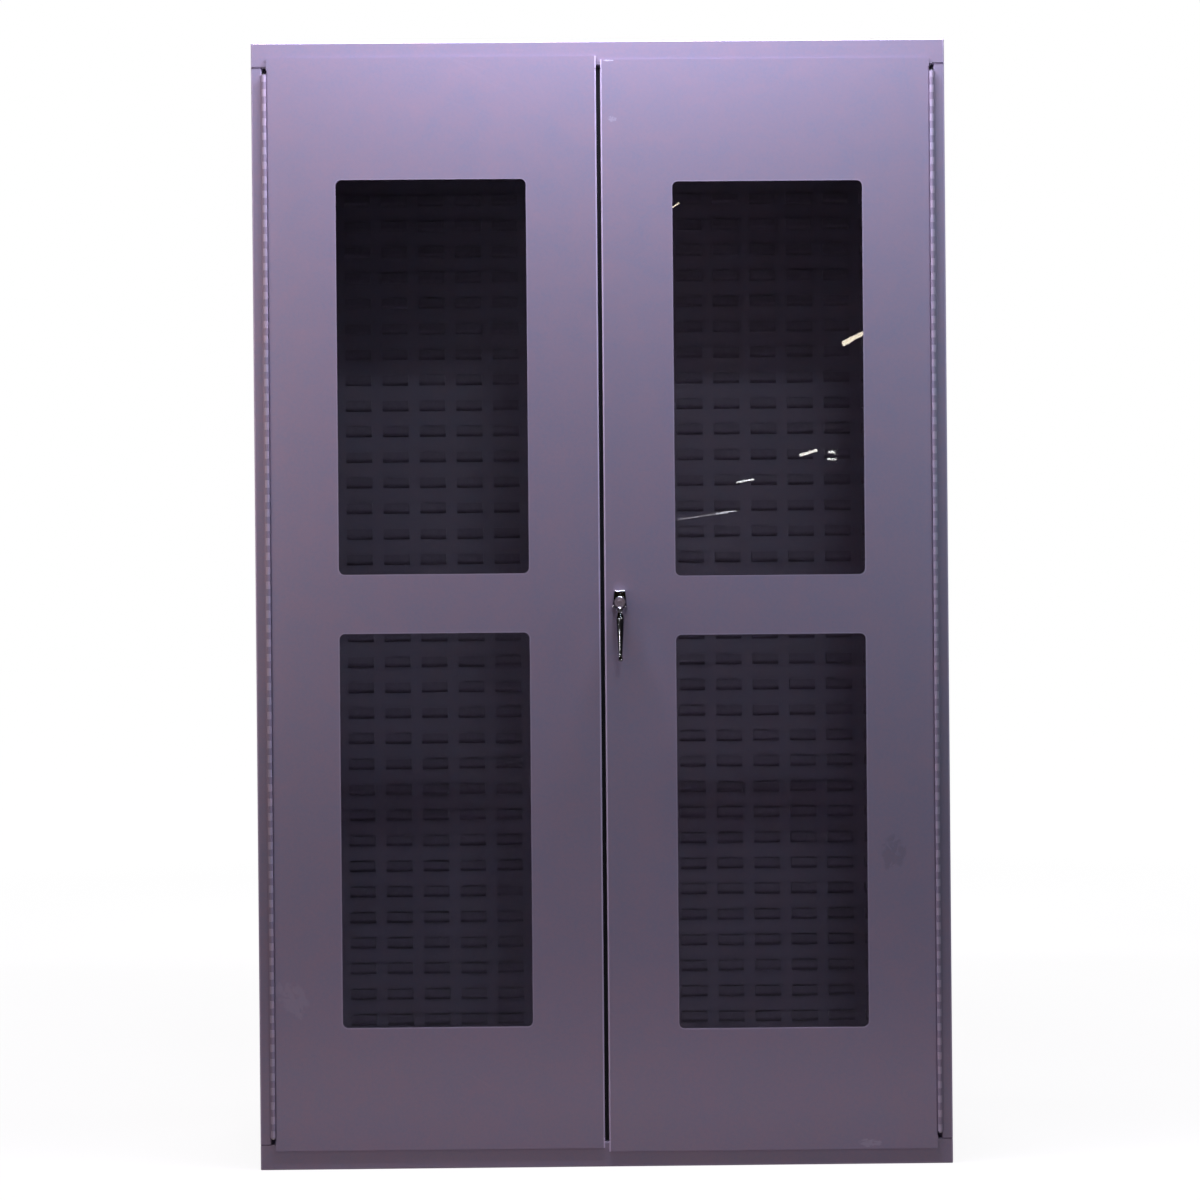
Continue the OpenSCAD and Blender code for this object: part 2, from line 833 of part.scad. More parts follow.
module lock_core() {
    front = hub_front - core_proud;
    color(satin) at_handle() front_view(front, hub_front + core_l) difference() {
        circle(core_r);
        circle(plug_r + pin_clearance);
    }
}

module key_plug() {
    front = hub_front - core_proud - 0.3;
    color(satin) at_handle() difference() {
        front_view(front, front + plug_l) circle(plug_r);
        front_view(front - pass, front + plug_l - 3) square([keyway_w, keyway_h], center = true);
    }
}

module cam_pin_places() {
    for (s = [-1, 1]) translate([s * pin_reach, -s * pin_reach]) children();
}

// Plate with the middle tongue, which turns into both doors' edges
module cam() {
    color(zinc) at_handle() front_view(cam_front, cam_back) difference() {
        union() {
            circle(cam_r);
            translate([-tongue_w / 2, 0]) square([tongue_w, tongue_l - 3]);
            translate([3 - tongue_w / 2, 0]) square([tongue_w - 6, tongue_l]);
            for (s = [-1, 1]) translate([s * (tongue_w / 2 - 3), tongue_l - 3]) circle(3);
        }
        square(square_w + 0.1, center = true);
        cam_pin_places() circle(cam_pin_r + thread_clearance);
    }
}

module cam_pins() {
    head_front = rod_back + 0.4;
    color(zinc) at_handle() {
        front_view(cam_front, head_front + 1) cam_pin_places() circle(cam_pin_r);
        front_view(head_front, head_front + 1.4) cam_pin_places() circle(cam_pin_r + 2);
    }
}

module cam_screw() {
    color(zinc) at_handle() {
        front_view(cam_back, cam_back + 2.2) circle(3.5);
        front_view(cam_back - 10, cam_back + 1) circle(2);
    }
}

// Flat bar with a slotted head round the cam's pin and a tapered end. It is drawn as
// the upper rod, and the lower one is the same turned half round.
module rod(length) {
    half = rod_w / 2;
    front_view(rod_front, rod_back) difference() {
        polygon([
            [rod_x - half, -rod_head],
            [rod_x + half, -rod_head],
            [rod_x + half, length - 2 * rod_taper],
            [rod_x + half - rod_taper, length],
            [rod_x - half + rod_taper, length],
            [rod_x - half, length - 2 * rod_taper]
        ]);
        translate([rod_x, -pin_reach]) slot(2 * yoke_w, yoke_h);
    }
}

module upper_rod() {
    color(zinc) at_handle() rod(header_bottom - rod_gap - handle_z);
}

module lower_rod() {
    color(zinc) at_handle() rotate([0, 180, 0]) rod(handle_z - sill_top - rod_gap);
}

// Nylon blocks behind the skin, two for each rod
module rod_guides() {
    half = rod_w / 2 + guide_clearance;
    wall = half + guide_wall;
    places = [
        [rod_x, handle_z + guide_lever_gap],
        [rod_x, header_bottom - guide_end_gap],
        [-rod_x, handle_z - guide_lever_gap],
        [-rod_x, sill_top + guide_end_gap]
    ];
    color(nylon) for (place = places) translate([handle_x + place.x, 0, place.y]) difference() {
        box([-wall, skin_back, -guide_h / 2], [wall, rod_back + guide_wall, guide_h / 2]);
        box(
            [-half, rod_front - guide_clearance, -guide_h / 2 - pass],
            [half, rod_back + guide_clearance, guide_h / 2 + pass]
        );
    }
}

top_pan();
bottom_pan();
left_side();
right_side();
back_panel();
floor_channel();
left_louver_panel();
right_louver_panel();
panel_spacers();
left_frame_leaf();
right_frame_leaf();
left_hinge_pin();
right_hinge_pin();
left_door_pan();
right_door_pan();
left_door_leaf();
right_door_leaf();
left_door_stiffeners();
right_door_stiffeners();
left_upper_pane();
left_lower_pane();
right_upper_pane();
right_lower_pane();
left_upper_retainers();
left_lower_retainers();
right_upper_retainers();
right_lower_retainers();
left_window_studs();
right_window_studs();
left_window_nuts();
right_window_nuts();
strike_plate();
escutcheon();
lock_plate();
collar_nut();
rod_guides();
handle();
lock_core();
cam();
cam_pins();
cam_screw();
key_plug();
upper_rod();
lower_rod();
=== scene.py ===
"""Looks of a steel tool cabinet with two windowed doors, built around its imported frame.

Each sub-assembly is a class that holds its sizes in metres, models the pieces that the
frame leaves plain with the edit-mode tools, and dresses them together with its frame
nodes. Each finish is a small class that writes one material. The stage holds the camera,
the lamps, the floor and the backdrop.
"""

import logging
import math
from contextlib import contextmanager
from dataclasses import dataclass
from enum import Enum
from functools import cache
from typing import Callable, Iterator, Optional, Sequence, Union

import bmesh
import bpy
from mathutils import Matrix, Vector


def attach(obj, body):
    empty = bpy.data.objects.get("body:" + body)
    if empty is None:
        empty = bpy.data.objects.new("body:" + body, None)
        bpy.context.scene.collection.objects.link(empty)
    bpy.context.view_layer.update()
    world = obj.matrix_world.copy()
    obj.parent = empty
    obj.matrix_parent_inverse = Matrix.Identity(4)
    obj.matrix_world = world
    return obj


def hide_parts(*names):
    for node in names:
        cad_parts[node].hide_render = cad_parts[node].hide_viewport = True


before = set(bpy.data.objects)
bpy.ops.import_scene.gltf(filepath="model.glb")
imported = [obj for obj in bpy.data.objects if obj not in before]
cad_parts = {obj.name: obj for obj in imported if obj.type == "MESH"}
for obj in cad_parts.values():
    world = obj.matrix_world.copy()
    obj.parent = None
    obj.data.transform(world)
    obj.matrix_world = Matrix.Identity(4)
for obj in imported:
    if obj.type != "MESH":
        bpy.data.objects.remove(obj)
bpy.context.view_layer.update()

log = logging.getLogger("cabinet")

Colour = tuple[float, float, float]
Socket = bpy.types.NodeSocket
Sockets = dict[str, Socket]
Value = Union[Socket, float, Sequence[float]]
Piece = bpy.types.Object
Material = bpy.types.Material
NodeTree = bpy.types.NodeTree

HALF_WIDTH, MIDDLE_Z = 0.6096, 0.9906  # half the cabinet's width and half its height
FRONT_Y, SKIN_Y = -0.3048, -0.3073  # the faces of the jambs and of the doors
DOOR_DROP = 0.00325  # how far the left door sits high and the right one low
WINDOW_X, WINDOW_UP = 0.295745, 0.39855  # a window's middle, from the cabinet's middle
WINDOW_HALF = (0.167, 0.34655)  # half a window's width and height
NEAR = 1e-5  # how close to a plane a point has to lie to count as on it
WHITE: Colour = (1.0, 1.0, 1.0)


class Slot(Enum):
    """The record's material slots, one named with each new piece."""

    SHELL = "shell_paint"
    ZINC = "zinc_steel"
    CHROME = "chrome_casting"
    SATIN = "satin_metal"
    NYLON = "nylon"


class Side(Enum):
    """The two doors, by the side of the cabinet that each hangs on."""

    LEFT = "left"
    RIGHT = "right"


class Way(Enum):
    """How a second solid changes the first."""

    ADD = "UNION"
    CUT = "DIFFERENCE"


class Axis(Enum):
    """The line that a turned piece is drawn out along."""

    DEPTH = (0.0, 1.0, 0.0)
    HEIGHT = (0.0, 0.0, 1.0)


# ---------- Modelling ----------


class Bench:
    """The steps that shape a piece, as done by hand in edit mode."""

    @staticmethod
    def take(*pieces: Piece) -> None:
        """Selects these objects and nothing else.

        Args:
            pieces: the objects; the last one becomes active.
        """
        bpy.ops.object.select_all(action="DESELECT")
        for piece in pieces:
            piece.select_set(True)
            bpy.context.view_layer.objects.active = piece

    @staticmethod
    @contextmanager
    def editing(piece: Piece) -> Iterator[None]:
        """Edit mode on one piece, with nothing in it selected.

        Args:
            piece: the object to edit.
        """
        Bench.take(piece)
        bpy.ops.object.mode_set(mode="EDIT")
        bpy.ops.mesh.select_all(action="DESELECT")
        yield
        bpy.ops.object.mode_set(mode="OBJECT")

    @staticmethod
    def pick(piece: Piece, kind: str, test: Callable[[object], bool]) -> int:
        """Selects the parts of the edited mesh that pass a test, and nothing else.

        Args:
            piece: the object in edit mode.
            kind: VERT, EDGE or FACE.
            test: tells whether a vertex, edge or face is wanted.

        Returns:
            How many were selected.
        """
        bpy.ops.mesh.select_all(action="DESELECT")
        bpy.ops.mesh.select_mode(type=kind)
        mesh = bmesh.from_edit_mesh(piece.data)
        parts = {"VERT": mesh.verts, "EDGE": mesh.edges, "FACE": mesh.faces}[kind]
        wanted = [part for part in parts if test(part)]
        for part in wanted:
            part.select_set(True)
        bmesh.update_edit_mesh(piece.data)
        return len(wanted)

    @staticmethod
    def named(name: str) -> Piece:
        """The object that an operator has just added, under a name of its own."""
        piece = bpy.context.object
        piece.name = piece.data.name = name
        return piece

    @staticmethod
    def settle(piece: Piece) -> Piece:
        """Puts an object's place, turn and scale into its mesh."""
        Bench.take(piece)
        bpy.ops.object.transform_apply(location=True, rotation=True, scale=True)
        return piece

    @staticmethod
    def block(name: str, low: Sequence[float], high: Sequence[float]) -> Piece:
        """A box between two corners, to be shaped further.

        Args:
            name: the piece's name.
            low: the lowest corner.
            high: the highest corner.

        Returns:
            The new piece.
        """
        low, high = Vector(low), Vector(high)
        Bench.take()
        bpy.ops.mesh.primitive_cube_add(size=1, location=(low + high) / 2)
        piece = Bench.named(name)
        piece.scale = high - low
        return Bench.settle(piece)

    @staticmethod
    def turned(
        name: str,
        place: Sequence[float],
        stations: Sequence[tuple[float, float]],
        axis: Axis = Axis.DEPTH,
        sides: int = 32,
    ) -> Piece:
        """Turns a closed piece as on a lathe: a disc is drawn out from radius to radius.

        Args:
            name: the piece's name.
            place: the point that the stations are measured from.
            stations: the way along the axis and the radius there, in the order in which
                the disc is drawn out. A last radius of 0 closes it in a point.
            axis: the line that it is drawn out along.
            sides: the number of sides of each ring.

        Returns:
            The new piece.
        """
        along, place = Vector(axis.value), Vector(place)
        turn = (math.pi / 2, 0, 0) if axis is Axis.DEPTH else (0, 0, 0)
        across = Vector((1, 1, 1)) - along
        way, radius = stations[0]
        Bench.take()
        bpy.ops.mesh.primitive_circle_add(
            vertices=sides,
            radius=radius,
            fill_type="NGON",
            location=place + along * way,
            rotation=turn,
        )
        piece = Bench.settle(Bench.named(name))
        with Bench.editing(piece):
            bpy.ops.mesh.select_mode(type="FACE")
            bpy.ops.mesh.select_all(action="SELECT")
            for next_way, next_radius in stations[1:]:
                bpy.ops.mesh.extrude_region_move(
                    TRANSFORM_OT_translate={"value": along * (next_way - way)}
                )
                if next_radius == 0:
                    bpy.ops.mesh.merge(type="CENTER")
                    break
                bpy.ops.transform.resize(
                    value=across * (next_radius / radius) + along,
                    center_override=place + along * next_way,
                )
                way, radius = next_way, next_radius
        return Bench.outward(piece)

    @staticmethod
    def outward(piece: Piece) -> Piece:
        """Merges doubled points and turns every face outwards."""
        with Bench.editing(piece):
            bpy.ops.mesh.select_all(action="SELECT")
            bpy.ops.mesh.remove_doubles(threshold=1e-7)
            bpy.ops.mesh.normals_make_consistent(inside=False)
        return piece

    @staticmethod
    def soften(
        piece: Piece, width: float, steps: int, test: Callable[[bmesh.types.BMEdge], bool]
    ) -> None:
        """Bevels the edges that pass a test.

        Args:
            piece: the piece to soften.
            width: the bevel's width.
            steps: its number of segments.
            test: tells whether an edge is wanted.
        """
        with Bench.editing(piece):
            if Bench.pick(piece, "EDGE", test):
                bpy.ops.mesh.bevel(offset=width, segments=steps, affect="EDGES", clamp_overlap=True)

    @staticmethod
    def combine(piece: Piece, tool: Piece, way: Way) -> Piece:
        """Adds a solid to a piece or cuts it out, and removes the solid.

        Args:
            piece: the piece that stays.
            tool: the solid that is used up.
            way: whether it is added or cut out.

        Returns:
            The same piece.
        """
        Bench.take(piece)
        bpy.ops.object.modifier_add(type="BOOLEAN")
        modifier = piece.modifiers[-1]
        modifier.operation, modifier.solver, modifier.object = way.value, "EXACT", tool
        bpy.ops.object.modifier_apply(modifier=modifier.name)
        bpy.data.objects.remove(tool)
        return piece

    @staticmethod
    def join(name: str, pieces: Sequence[Piece]) -> Piece:
        """Makes several objects one piece.

        Args:
            name: the piece's name.
            pieces: the objects to join.

        Returns:
            The joined piece.
        """
        Bench.take(*pieces)
        bpy.ops.object.join()
        return Bench.named(name)

    @staticmethod
    def copy(piece: Piece, by: Sequence[float]) -> Piece:
        """A copy of a piece with its own mesh, moved.

        Args:
            piece: the piece to copy.
            by: how far the copy moves.

        Returns:
            The copy.
        """
        Bench.take(piece)
        bpy.ops.object.duplicate()
        copied = bpy.context.object
        copied.location = Vector(by)
        return Bench.settle(copied)

    @staticmethod
    def smooth(piece: Piece, angle: float = 35.0) -> Piece:
        """Shades a piece smooth up to an angle in degrees."""
        Bench.take(piece)
        bpy.ops.object.shade_smooth_by_angle(angle=math.radians(angle))
        return piece


def islands(node: str, reach: float) -> list[tuple[Vector, Vector]]:
    """The boxes of a frame node's separate solids, which all are smaller than their gaps.

    Args:
        node: the frame node's name.
        reach: how far a vertex may be from its solid's first one.

    Returns:
        The lowest and highest corner of each solid.
    """
    groups: list[list[Vector]] = []
    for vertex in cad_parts[node].data.vertices:
        point = vertex.co.copy()
        for group in groups:
            if (group[0] - point).length < reach:
                group.append(point)
                break
        else:
            groups.append([point])
    return [
        tuple(Vector([end(point[k] for point in group) for k in range(3)]) for end in (min, max))
        for group in groups
    ]


# ---------- Materials ----------


class Graph:
    """A node tree, with short calls that add a node or join two sockets."""

    def __init__(self, tree: bpy.types.NodeTree) -> None:
        """Keeps the tree that the calls write to."""
        self.tree = tree

    def add(self, kind: str, **settings: object) -> bpy.types.Node:
        """Adds a node.

        Args:
            kind: the node's type.
            settings: its properties.

        Returns:
            The new node.
        """
        node = self.tree.nodes.new(kind)
        for name, value in settings.items():
            setattr(node, name, value)
        return node

    def feed(self, socket: Socket, value: Value) -> None:
        """Joins a source to a socket, or sets its own value; a colour is always opaque."""
        if isinstance(value, bpy.types.NodeSocket):
            self.tree.links.new(value, socket)
        elif socket.type == "RGBA":
            socket.default_value = (*value[:3], 1.0)
        else:
            socket.default_value = value

    def wire(self, node: bpy.types.Node, **values: Value) -> bpy.types.Node:
        """Feeds a node's inputs.

        Args:
            node: the node.
            values: its inputs by name, with underscores for spaces.

        Returns:
            The same node.
        """
        for name, value in values.items():
            self.feed(node.inputs[name.replace("_", " ")], value)
        return node

    def noise(
        self, where: Value, scale: Value, detail: float = 2.0, warp: float = 0.0
    ) -> Socket:
        """Noise from 0 to 1.

        Args:
            where: the point that it is read at.
            scale: its scale.
            detail: its octaves.
            warp: its distortion.

        Returns:
            The noise's value.
        """
        node = self.add("ShaderNodeTexNoise")
        return self.wire(
            node, Vector=where, Scale=scale, Detail=detail, Distortion=warp
        ).outputs["Fac"]

    def sum(self, step: str, *numbers: Value, clamp: bool = False) -> Socket:
        """One sum on a number, or on the outcome so far and each further number.

        Args:
            step: the Math node's operation.
            numbers: the numbers.
            clamp: whether each outcome is kept from 0 to 1.

        Returns:
            The outcome.
        """
        total, *rest = numbers
        for number in rest or (0.0,):
            node = self.add("ShaderNodeMath", operation=step, use_clamp=clamp)
            self.feed(node.inputs[0], total)
            self.feed(node.inputs[1], number)
            total = node.outputs[0]
        return total

    def spread(
        self, value: Value, low: float, high: float, to_low: float = 0.0, to_high: float = 1.0
    ) -> Socket:
        """Takes the range from low to high smoothly to another one.

        Args:
            value: the number.
            low: what becomes to_low.
            high: what becomes to_high.
            to_low: the new range's start.
            to_high: the new range's end.

        Returns:
            The number in its new range.
        """
        node = self.add("ShaderNodeMapRange", interpolation_type="SMOOTHSTEP")
        return self.wire(
            node, Value=value, From_Min=low, From_Max=high, To_Min=to_low, To_Max=to_high
        ).outputs["Result"]

    def mix(self, share: Value, a: Value, b: Value) -> Socket:
        """Mixes two colours.

        Args:
            share: how much of the second there is.
            a: the first colour.
            b: the second colour.

        Returns:
            The mixed colour.
        """
        node = self.add("ShaderNodeMix", data_type="RGBA")
        self.feed(node.inputs[0], share)
        self.feed(node.inputs[6], a)
        self.feed(node.inputs[7], b)
        return node.outputs[2]

    def place(
        self, where: Value, centre: Sequence[float], size: Sequence[float], turn: float = 0.0
    ) -> Socket:
        """Centres and scales a point, so that size becomes 1.

        Args:
            where: the point.
            centre: what becomes the origin.
            size: what becomes 1 along each axis.
            turn: the pattern's turn in the front plane, in degrees.

        Returns:
            The mapped point.
        """
        node = self.add("ShaderNodeMapping", vector_type="TEXTURE")
        tilt = (0, math.radians(turn), 0)
        return self.wire(
            node, Vector=where, Location=centre, Rotation=tilt, Scale=size
        ).outputs["Vector"]

    def effect(self, group: NodeTree, **values: Value) -> Socket:
        """Places a shared effect.

        Args:
            group: the effect's node group.
            values: its inputs by name, with underscores for spaces.

        Returns:
            The effect's output.
        """
        return self.wire(self.add("ShaderNodeGroup", node_tree=group), **values).outputs[0]

    def parts(self, where: Socket) -> bpy.types.bpy_prop_collection:
        """The X, Y and Z of a point, by name."""
        node = self.add("ShaderNodeSeparateXYZ")
        self.feed(node.inputs[0], where)
        return node.outputs

    def worn(self, base: float, *marks: tuple[Socket, float]) -> Socket:
        """A roughness that marks add to, kept from 0 to 1.

        Args:
            base: the roughness without marks.
            marks: each mark's mask and what it adds at most.

        Returns:
            The roughness.
        """
        shares = [self.sum("MULTIPLY", mask, share) for mask, share in marks]
        return self.sum("ADD", self.sum("ADD", *shares), base, clamp=True)

    def by_ray(self, ray: str, others: Socket, these: Socket) -> Socket:
        """Shows one shader to one kind of ray and another one to the rest.

        Args:
            ray: the Light Path node's output for that kind.
            others: the shader for the rest.
            these: the shader for that kind.

        Returns:
            Both as one shader.
        """
        node, path = self.add("ShaderNodeMixShader"), self.add("ShaderNodeLightPath")
        for socket, source in zip(node.inputs, (path.outputs[ray], others, these)):
            self.feed(socket, source)
        return node.outputs["Shader"]


Wiring = Callable[[Graph, Sockets], Socket]


def shared(output: str, **inputs: float) -> Callable[[Wiring], Callable[[], NodeTree]]:
    """Makes an effect's wiring a function that returns its node group, built once.

    Args:
        output: the name of what the group puts out.
        inputs: its numbers and their defaults, with underscores for spaces. It always
            takes a Vector as well.

    Returns:
        The decorator.
    """

    def decorate(wiring: Wiring) -> Callable[[], NodeTree]:
        @cache
        def group() -> NodeTree:
            tree = bpy.data.node_groups.new(wiring.__name__, "ShaderNodeTree")
            face = tree.interface
            face.new_socket("Vector", in_out="INPUT", socket_type="NodeSocketVector")
            for name, default in inputs.items():
                label = name.replace("_", " ")
                number = face.new_socket(label, in_out="INPUT", socket_type="NodeSocketFloat")
                number.default_value = default
            face.new_socket(output, in_out="OUTPUT", socket_type="NodeSocketFloat")
            g = Graph(tree)
            ins, outs = g.add("NodeGroupInput"), g.add("NodeGroupOutput")
            sockets = {socket.name: socket for socket in ins.outputs if socket.name}
            g.feed(outs.inputs[0], wiring(g, sockets))
            return tree

        return group

    return decorate


class Effects:
    """Surface effects that several finishes share, each a node group built once."""

    @staticmethod
    @shared("Height", Size=0.002, Waviness=2.0)
    def orange_peel(g: Graph, s: Sockets) -> Socket:
        """The pebbled skin of a baked powder coat, as a height."""
        scale = g.sum("DIVIDE", 1.0, s["Size"])
        fine = g.noise(s["Vector"], scale, 1.5)
        broad = g.noise(s["Vector"], g.sum("DIVIDE", scale, 7.0), 1.0)
        return g.sum("ADD", fine, g.sum("MULTIPLY", broad, s["Waviness"]))

    @staticmethod
    @shared("Value", Size=0.1, Contrast=1.6)
    def clouds(g: Graph, s: Sockets) -> Socket:
        """Soft uneven patches, from 0 to 1."""
        patches = g.noise(s["Vector"], g.sum("DIVIDE", 1.0, s["Size"]), 4.0, 0.4)
        centred = g.sum("SUBTRACT", patches, 0.5)
        return g.sum("ADD", g.sum("MULTIPLY", centred, s["Contrast"]), 0.5, clamp=True)

    @staticmethod
    @shared("Mask", Spacing=0.03, Share=1.0)
    def fine_scratches(g: Graph, s: Sockets) -> Socket:
        """Hairline scratches that run in two ways, as a mask."""
        scale = g.sum("DIVIDE", 0.05, s["Spacing"])
        lines = []
        for turn, size in ((24.0, (1.0, 1.0, 0.02)), (-58.0, (0.02, 1.0, 1.0))):
            point = g.place(s["Vector"], (0, 0, 0), size, turn)
            strand = g.sum("ABSOLUTE", g.sum("SUBTRACT", g.noise(point, scale, 0.0), 0.5))
            lines.append(g.spread(strand, 0.0, 0.006, 1.0, 0.0))
        where = g.spread(g.noise(s["Vector"], g.sum("DIVIDE", 0.3, s["Spacing"])), 0.5, 0.7)
        return g.sum("MULTIPLY", g.sum("MAXIMUM", *lines), where, s["Share"])

    @staticmethod
    @shared("Mask", Reach=0.3, Amount=0.3)
    def settled_dust(g: Graph, s: Sockets) -> Socket:
        """Dust that is thickest near the floor and thins out upwards, as a mask."""
        height = g.sum("DIVIDE", g.parts(s["Vector"])["Z"], s["Reach"])
        low = g.sum("SUBTRACT", 1.0, height, clamp=True)
        grains = g.spread(g.noise(s["Vector"], 160.0, 3.0), 0.35, 0.7)
        drift = g.spread(g.noise(s["Vector"], 9.0, 3.0), 0.3, 0.7)
        return g.sum("MULTIPLY", low, g.sum("MULTIPLY", grains, drift), s["Amount"])

    @staticmethod
    @shared("Mask", Size=0.12, Share=1.0)
    def smears(g: Graph, s: Sockets) -> Socket:
        """Faint wiped and touched patches, as a mask."""
        scale = g.sum("DIVIDE", 1.0, s["Size"])
        patch = g.spread(g.noise(s["Vector"], scale, 2.0, 0.8), 0.52, 0.72)
        streak = g.place(s["Vector"], (0, 0, 0), (0.25, 1.0, 2.0), 30.0)
        wiped = g.spread(g.noise(streak, g.sum("MULTIPLY", scale, 5.0), 3.0), 0.35, 0.75)
        return g.sum("MULTIPLY", patch, wiped, s["Share"])

    @staticmethod
    @shared("Mask", Share=0.3)
    def rubbed_spot(g: Graph, s: Sockets) -> Socket:
        """One spot with ragged edges, as a mask round the origin, for scuffs, smudges and painted
        highlights.
        """
        ball = g.add("ShaderNodeTexGradient", gradient_type="SPHERICAL")
        g.wire(ball, Vector=s["Vector"])
        ragged = g.spread(g.noise(s["Vector"], 2.4, 4.0, 0.6), 0.35, 0.65, 0.2, 1.6)
        shape = g.sum("MULTIPLY", ball.outputs["Fac"], ragged)
        return g.sum("MULTIPLY", g.spread(shape, 0.12, 0.5), s["Share"])

    @staticmethod
    @shared("Mask", Half_X=0.1, Half_Z=0.1, Corner=0.0, Width=0.002, Share=0.5)
    def bright_rim(g: Graph, s: Sockets) -> Socket:
        """A narrow line along a rounded rectangle round the origin, at the front only, as the mask
        of a painted highlight.
        """
        point = g.parts(s["Vector"])
        over = []
        for axis in "XZ":
            inner = g.sum("SUBTRACT", s[f"Half {axis}"], s["Corner"])
            over.append(g.sum("SUBTRACT", g.sum("ABSOLUTE", point[axis]), inner))
        squares = [g.sum("POWER", g.sum("MAXIMUM", side, 0.0), 2.0) for side in over]
        outside = g.sum("SQRT", g.sum("ADD", *squares))
        inside = g.sum("MINIMUM", g.sum("MAXIMUM", *over), 0.0)
        way = g.sum("SUBTRACT", g.sum("ADD", outside, inside), s["Corner"])
        near = g.sum("DIVIDE", g.sum("ABSOLUTE", way), s["Width"])
        line = g.spread(near, 0.6, 1.0, 1.0, 0.0)
        front = g.spread(point["Y"], 0.0026, 0.0034, 1.0, 0.0)
        return g.sum("MULTIPLY", line, front, s["Share"])


class Finish:
    """A material, with the nodes that every finish starts from."""

    name: str

    def start(self) -> tuple[Material, Graph, bpy.types.Node, Socket]:
        """A new material with a shader and Object coordinates.

        Returns:
            The material, its graph, its Principled shader and the point on the surface.
        """
        material = bpy.data.materials.new(self.name)
        material.use_nodes = True
        graph = Graph(material.node_tree)
        shader = material.node_tree.nodes["Principled BSDF"]
        return material, graph, shader, graph.add("ShaderNodeTexCoord").outputs["Object"]

    @staticmethod
    def bump(g: Graph, shader: bpy.types.Node, height: Socket, depth: float) -> None:
        """Raises the surface by a height.

        Args:
            g: the material's graph.
            shader: its shader.
            height: the height, about 0 to 1.
            depth: what 1 is in metres.
        """
        node = g.wire(g.add("ShaderNodeBump"), Distance=depth, Height=height)
        g.wire(shader, Normal=node.outputs["Normal"])

    @staticmethod
    def dimmed(colour: Colour, share: float) -> Colour:
        """A colour times a number."""
        return tuple(part * share for part in colour)

    def material(self) -> Material:
        """The finish as a material."""
        raise NotImplementedError


@dataclass(frozen=True)
class Spot:
    """A scuff, a smudge or a painted highlight on a painted face, with its own colour."""

    place: tuple[float, float]
    size: tuple[float, float]
    colour: Colour
    share: float
    turn: float = 0.0


@dataclass(frozen=True)
class Rim:
    """A painted highlight: a lighter line of colour along a bent or cut edge, where the edge would
    catch the light.
    """

    centre: tuple[float, float]
    half: tuple[float, float]
    corner: float
    width: float
    share: float


@dataclass(frozen=True)
class PowderCoat(Finish):
    """Baked powder paint with orange peel, soft clouds, dust low down, scuffs, painted highlights
    along edges and in spots, and faces made darker where they stand proud.
    """

    name: str
    colour: Colour
    roughness: float = 0.46
    cool: Colour = (0.87, 0.98, 1.04)
    warm: Colour = (1.12, 1.0, 0.98)
    # Colour factor of the painted highlight lines along edges.
    edge: Colour = (2.3, 2.35, 2.35)
    rubbed: Colour = (0.78, 0.78, 0.79)
    scratched: Colour = (1.35, 1.35, 1.32)
    grime: Colour = (0.34, 0.31, 0.30)
    dust: float = 0.22
    front: float = SKIN_Y
    spot_depth: float = 0.05
    spots: tuple[Spot, ...] = ()
    rims: tuple[Rim, ...] = ()
    rubbed_from: Optional[float] = None
    rubbed_over: float = 0.0015

    def tinted(self, tint: Colour) -> Colour:
        """The paint's colour times a tint."""
        return tuple(c * t for c, t in zip(self.colour, tint))

    def material(self) -> Material:
        """The paint as a material."""
        material, g, shader, here = self.start()
        patches = g.effect(Effects.clouds(), Vector=here, Size=0.05, Contrast=2.0)
        grain = g.effect(Effects.clouds(), Vector=here, Size=0.006, Contrast=2.6)
        blotches = g.sum("ADD", g.sum("MULTIPLY", patches, 0.55), g.sum("MULTIPLY", grain, 0.45))
        colour = g.mix(blotches, self.tinted(self.cool), self.tinted(self.warm))
        # Spots: scuffs and smudges, and painted highlights.
        for spot in self.spots:
            centre = (spot.place[0], self.front, spot.place[1])
            size = (spot.size[0], self.spot_depth, spot.size[1])
            point = g.place(here, centre, size, spot.turn)
            mark = g.effect(Effects.rubbed_spot(), Vector=point, Share=spot.share)
            colour = g.mix(mark, colour, spot.colour)
        # Painted highlights: lighter lines along bent and cut edges, where the edges would catch
        # the light.
        for rim in self.rims:
            point = g.place(here, (rim.centre[0], self.front, rim.centre[1]), (1, 1, 1))
            line = g.effect(
                Effects.bright_rim(),
                Vector=point,
                Half_X=rim.half[0],
                Half_Z=rim.half[1],
                Corner=rim.corner,
                Width=rim.width,
                Share=rim.share,
            )
            colour = g.mix(line, colour, self.tinted(self.edge))
        # Faces that stand proud of the sheet are made darker, unevenly.
        if self.rubbed_from is not None:
            start = self.rubbed_from - self.rubbed_over
            proud = g.spread(g.parts(here)["Y"], start, self.rubbed_from, 1.0, 0.0)
            patchy = g.spread(g.noise(here, 90.0, 3.0), 0.3, 0.7, 0.6, 1.0)
            colour = g.mix(g.sum("MULTIPLY", proud, patchy), colour, self.tinted(self.rubbed))
        scratch = g.effect(Effects.fine_scratches(), Vector=here, Spacing=0.06, Share=0.10)
        colour = g.mix(scratch, colour, self.tinted(self.scratched))
        dust = g.effect(Effects.settled_dust(), Vector=here, Amount=self.dust)
        g.wire(
            shader,
            Base_Color=g.mix(dust, colour, self.grime),
            Roughness=g.worn(self.roughness - 0.03, (patches, 0.06), (dust, 0.5)),
            IOR=1.5,
        )
        peel = g.effect(Effects.orange_peel(), Vector=here, Size=0.0022, Waviness=1.6)
        self.bump(g, shader, g.sum("SUBTRACT", peel, g.sum("MULTIPLY", scratch, 0.6)), 0.00006)
        return material


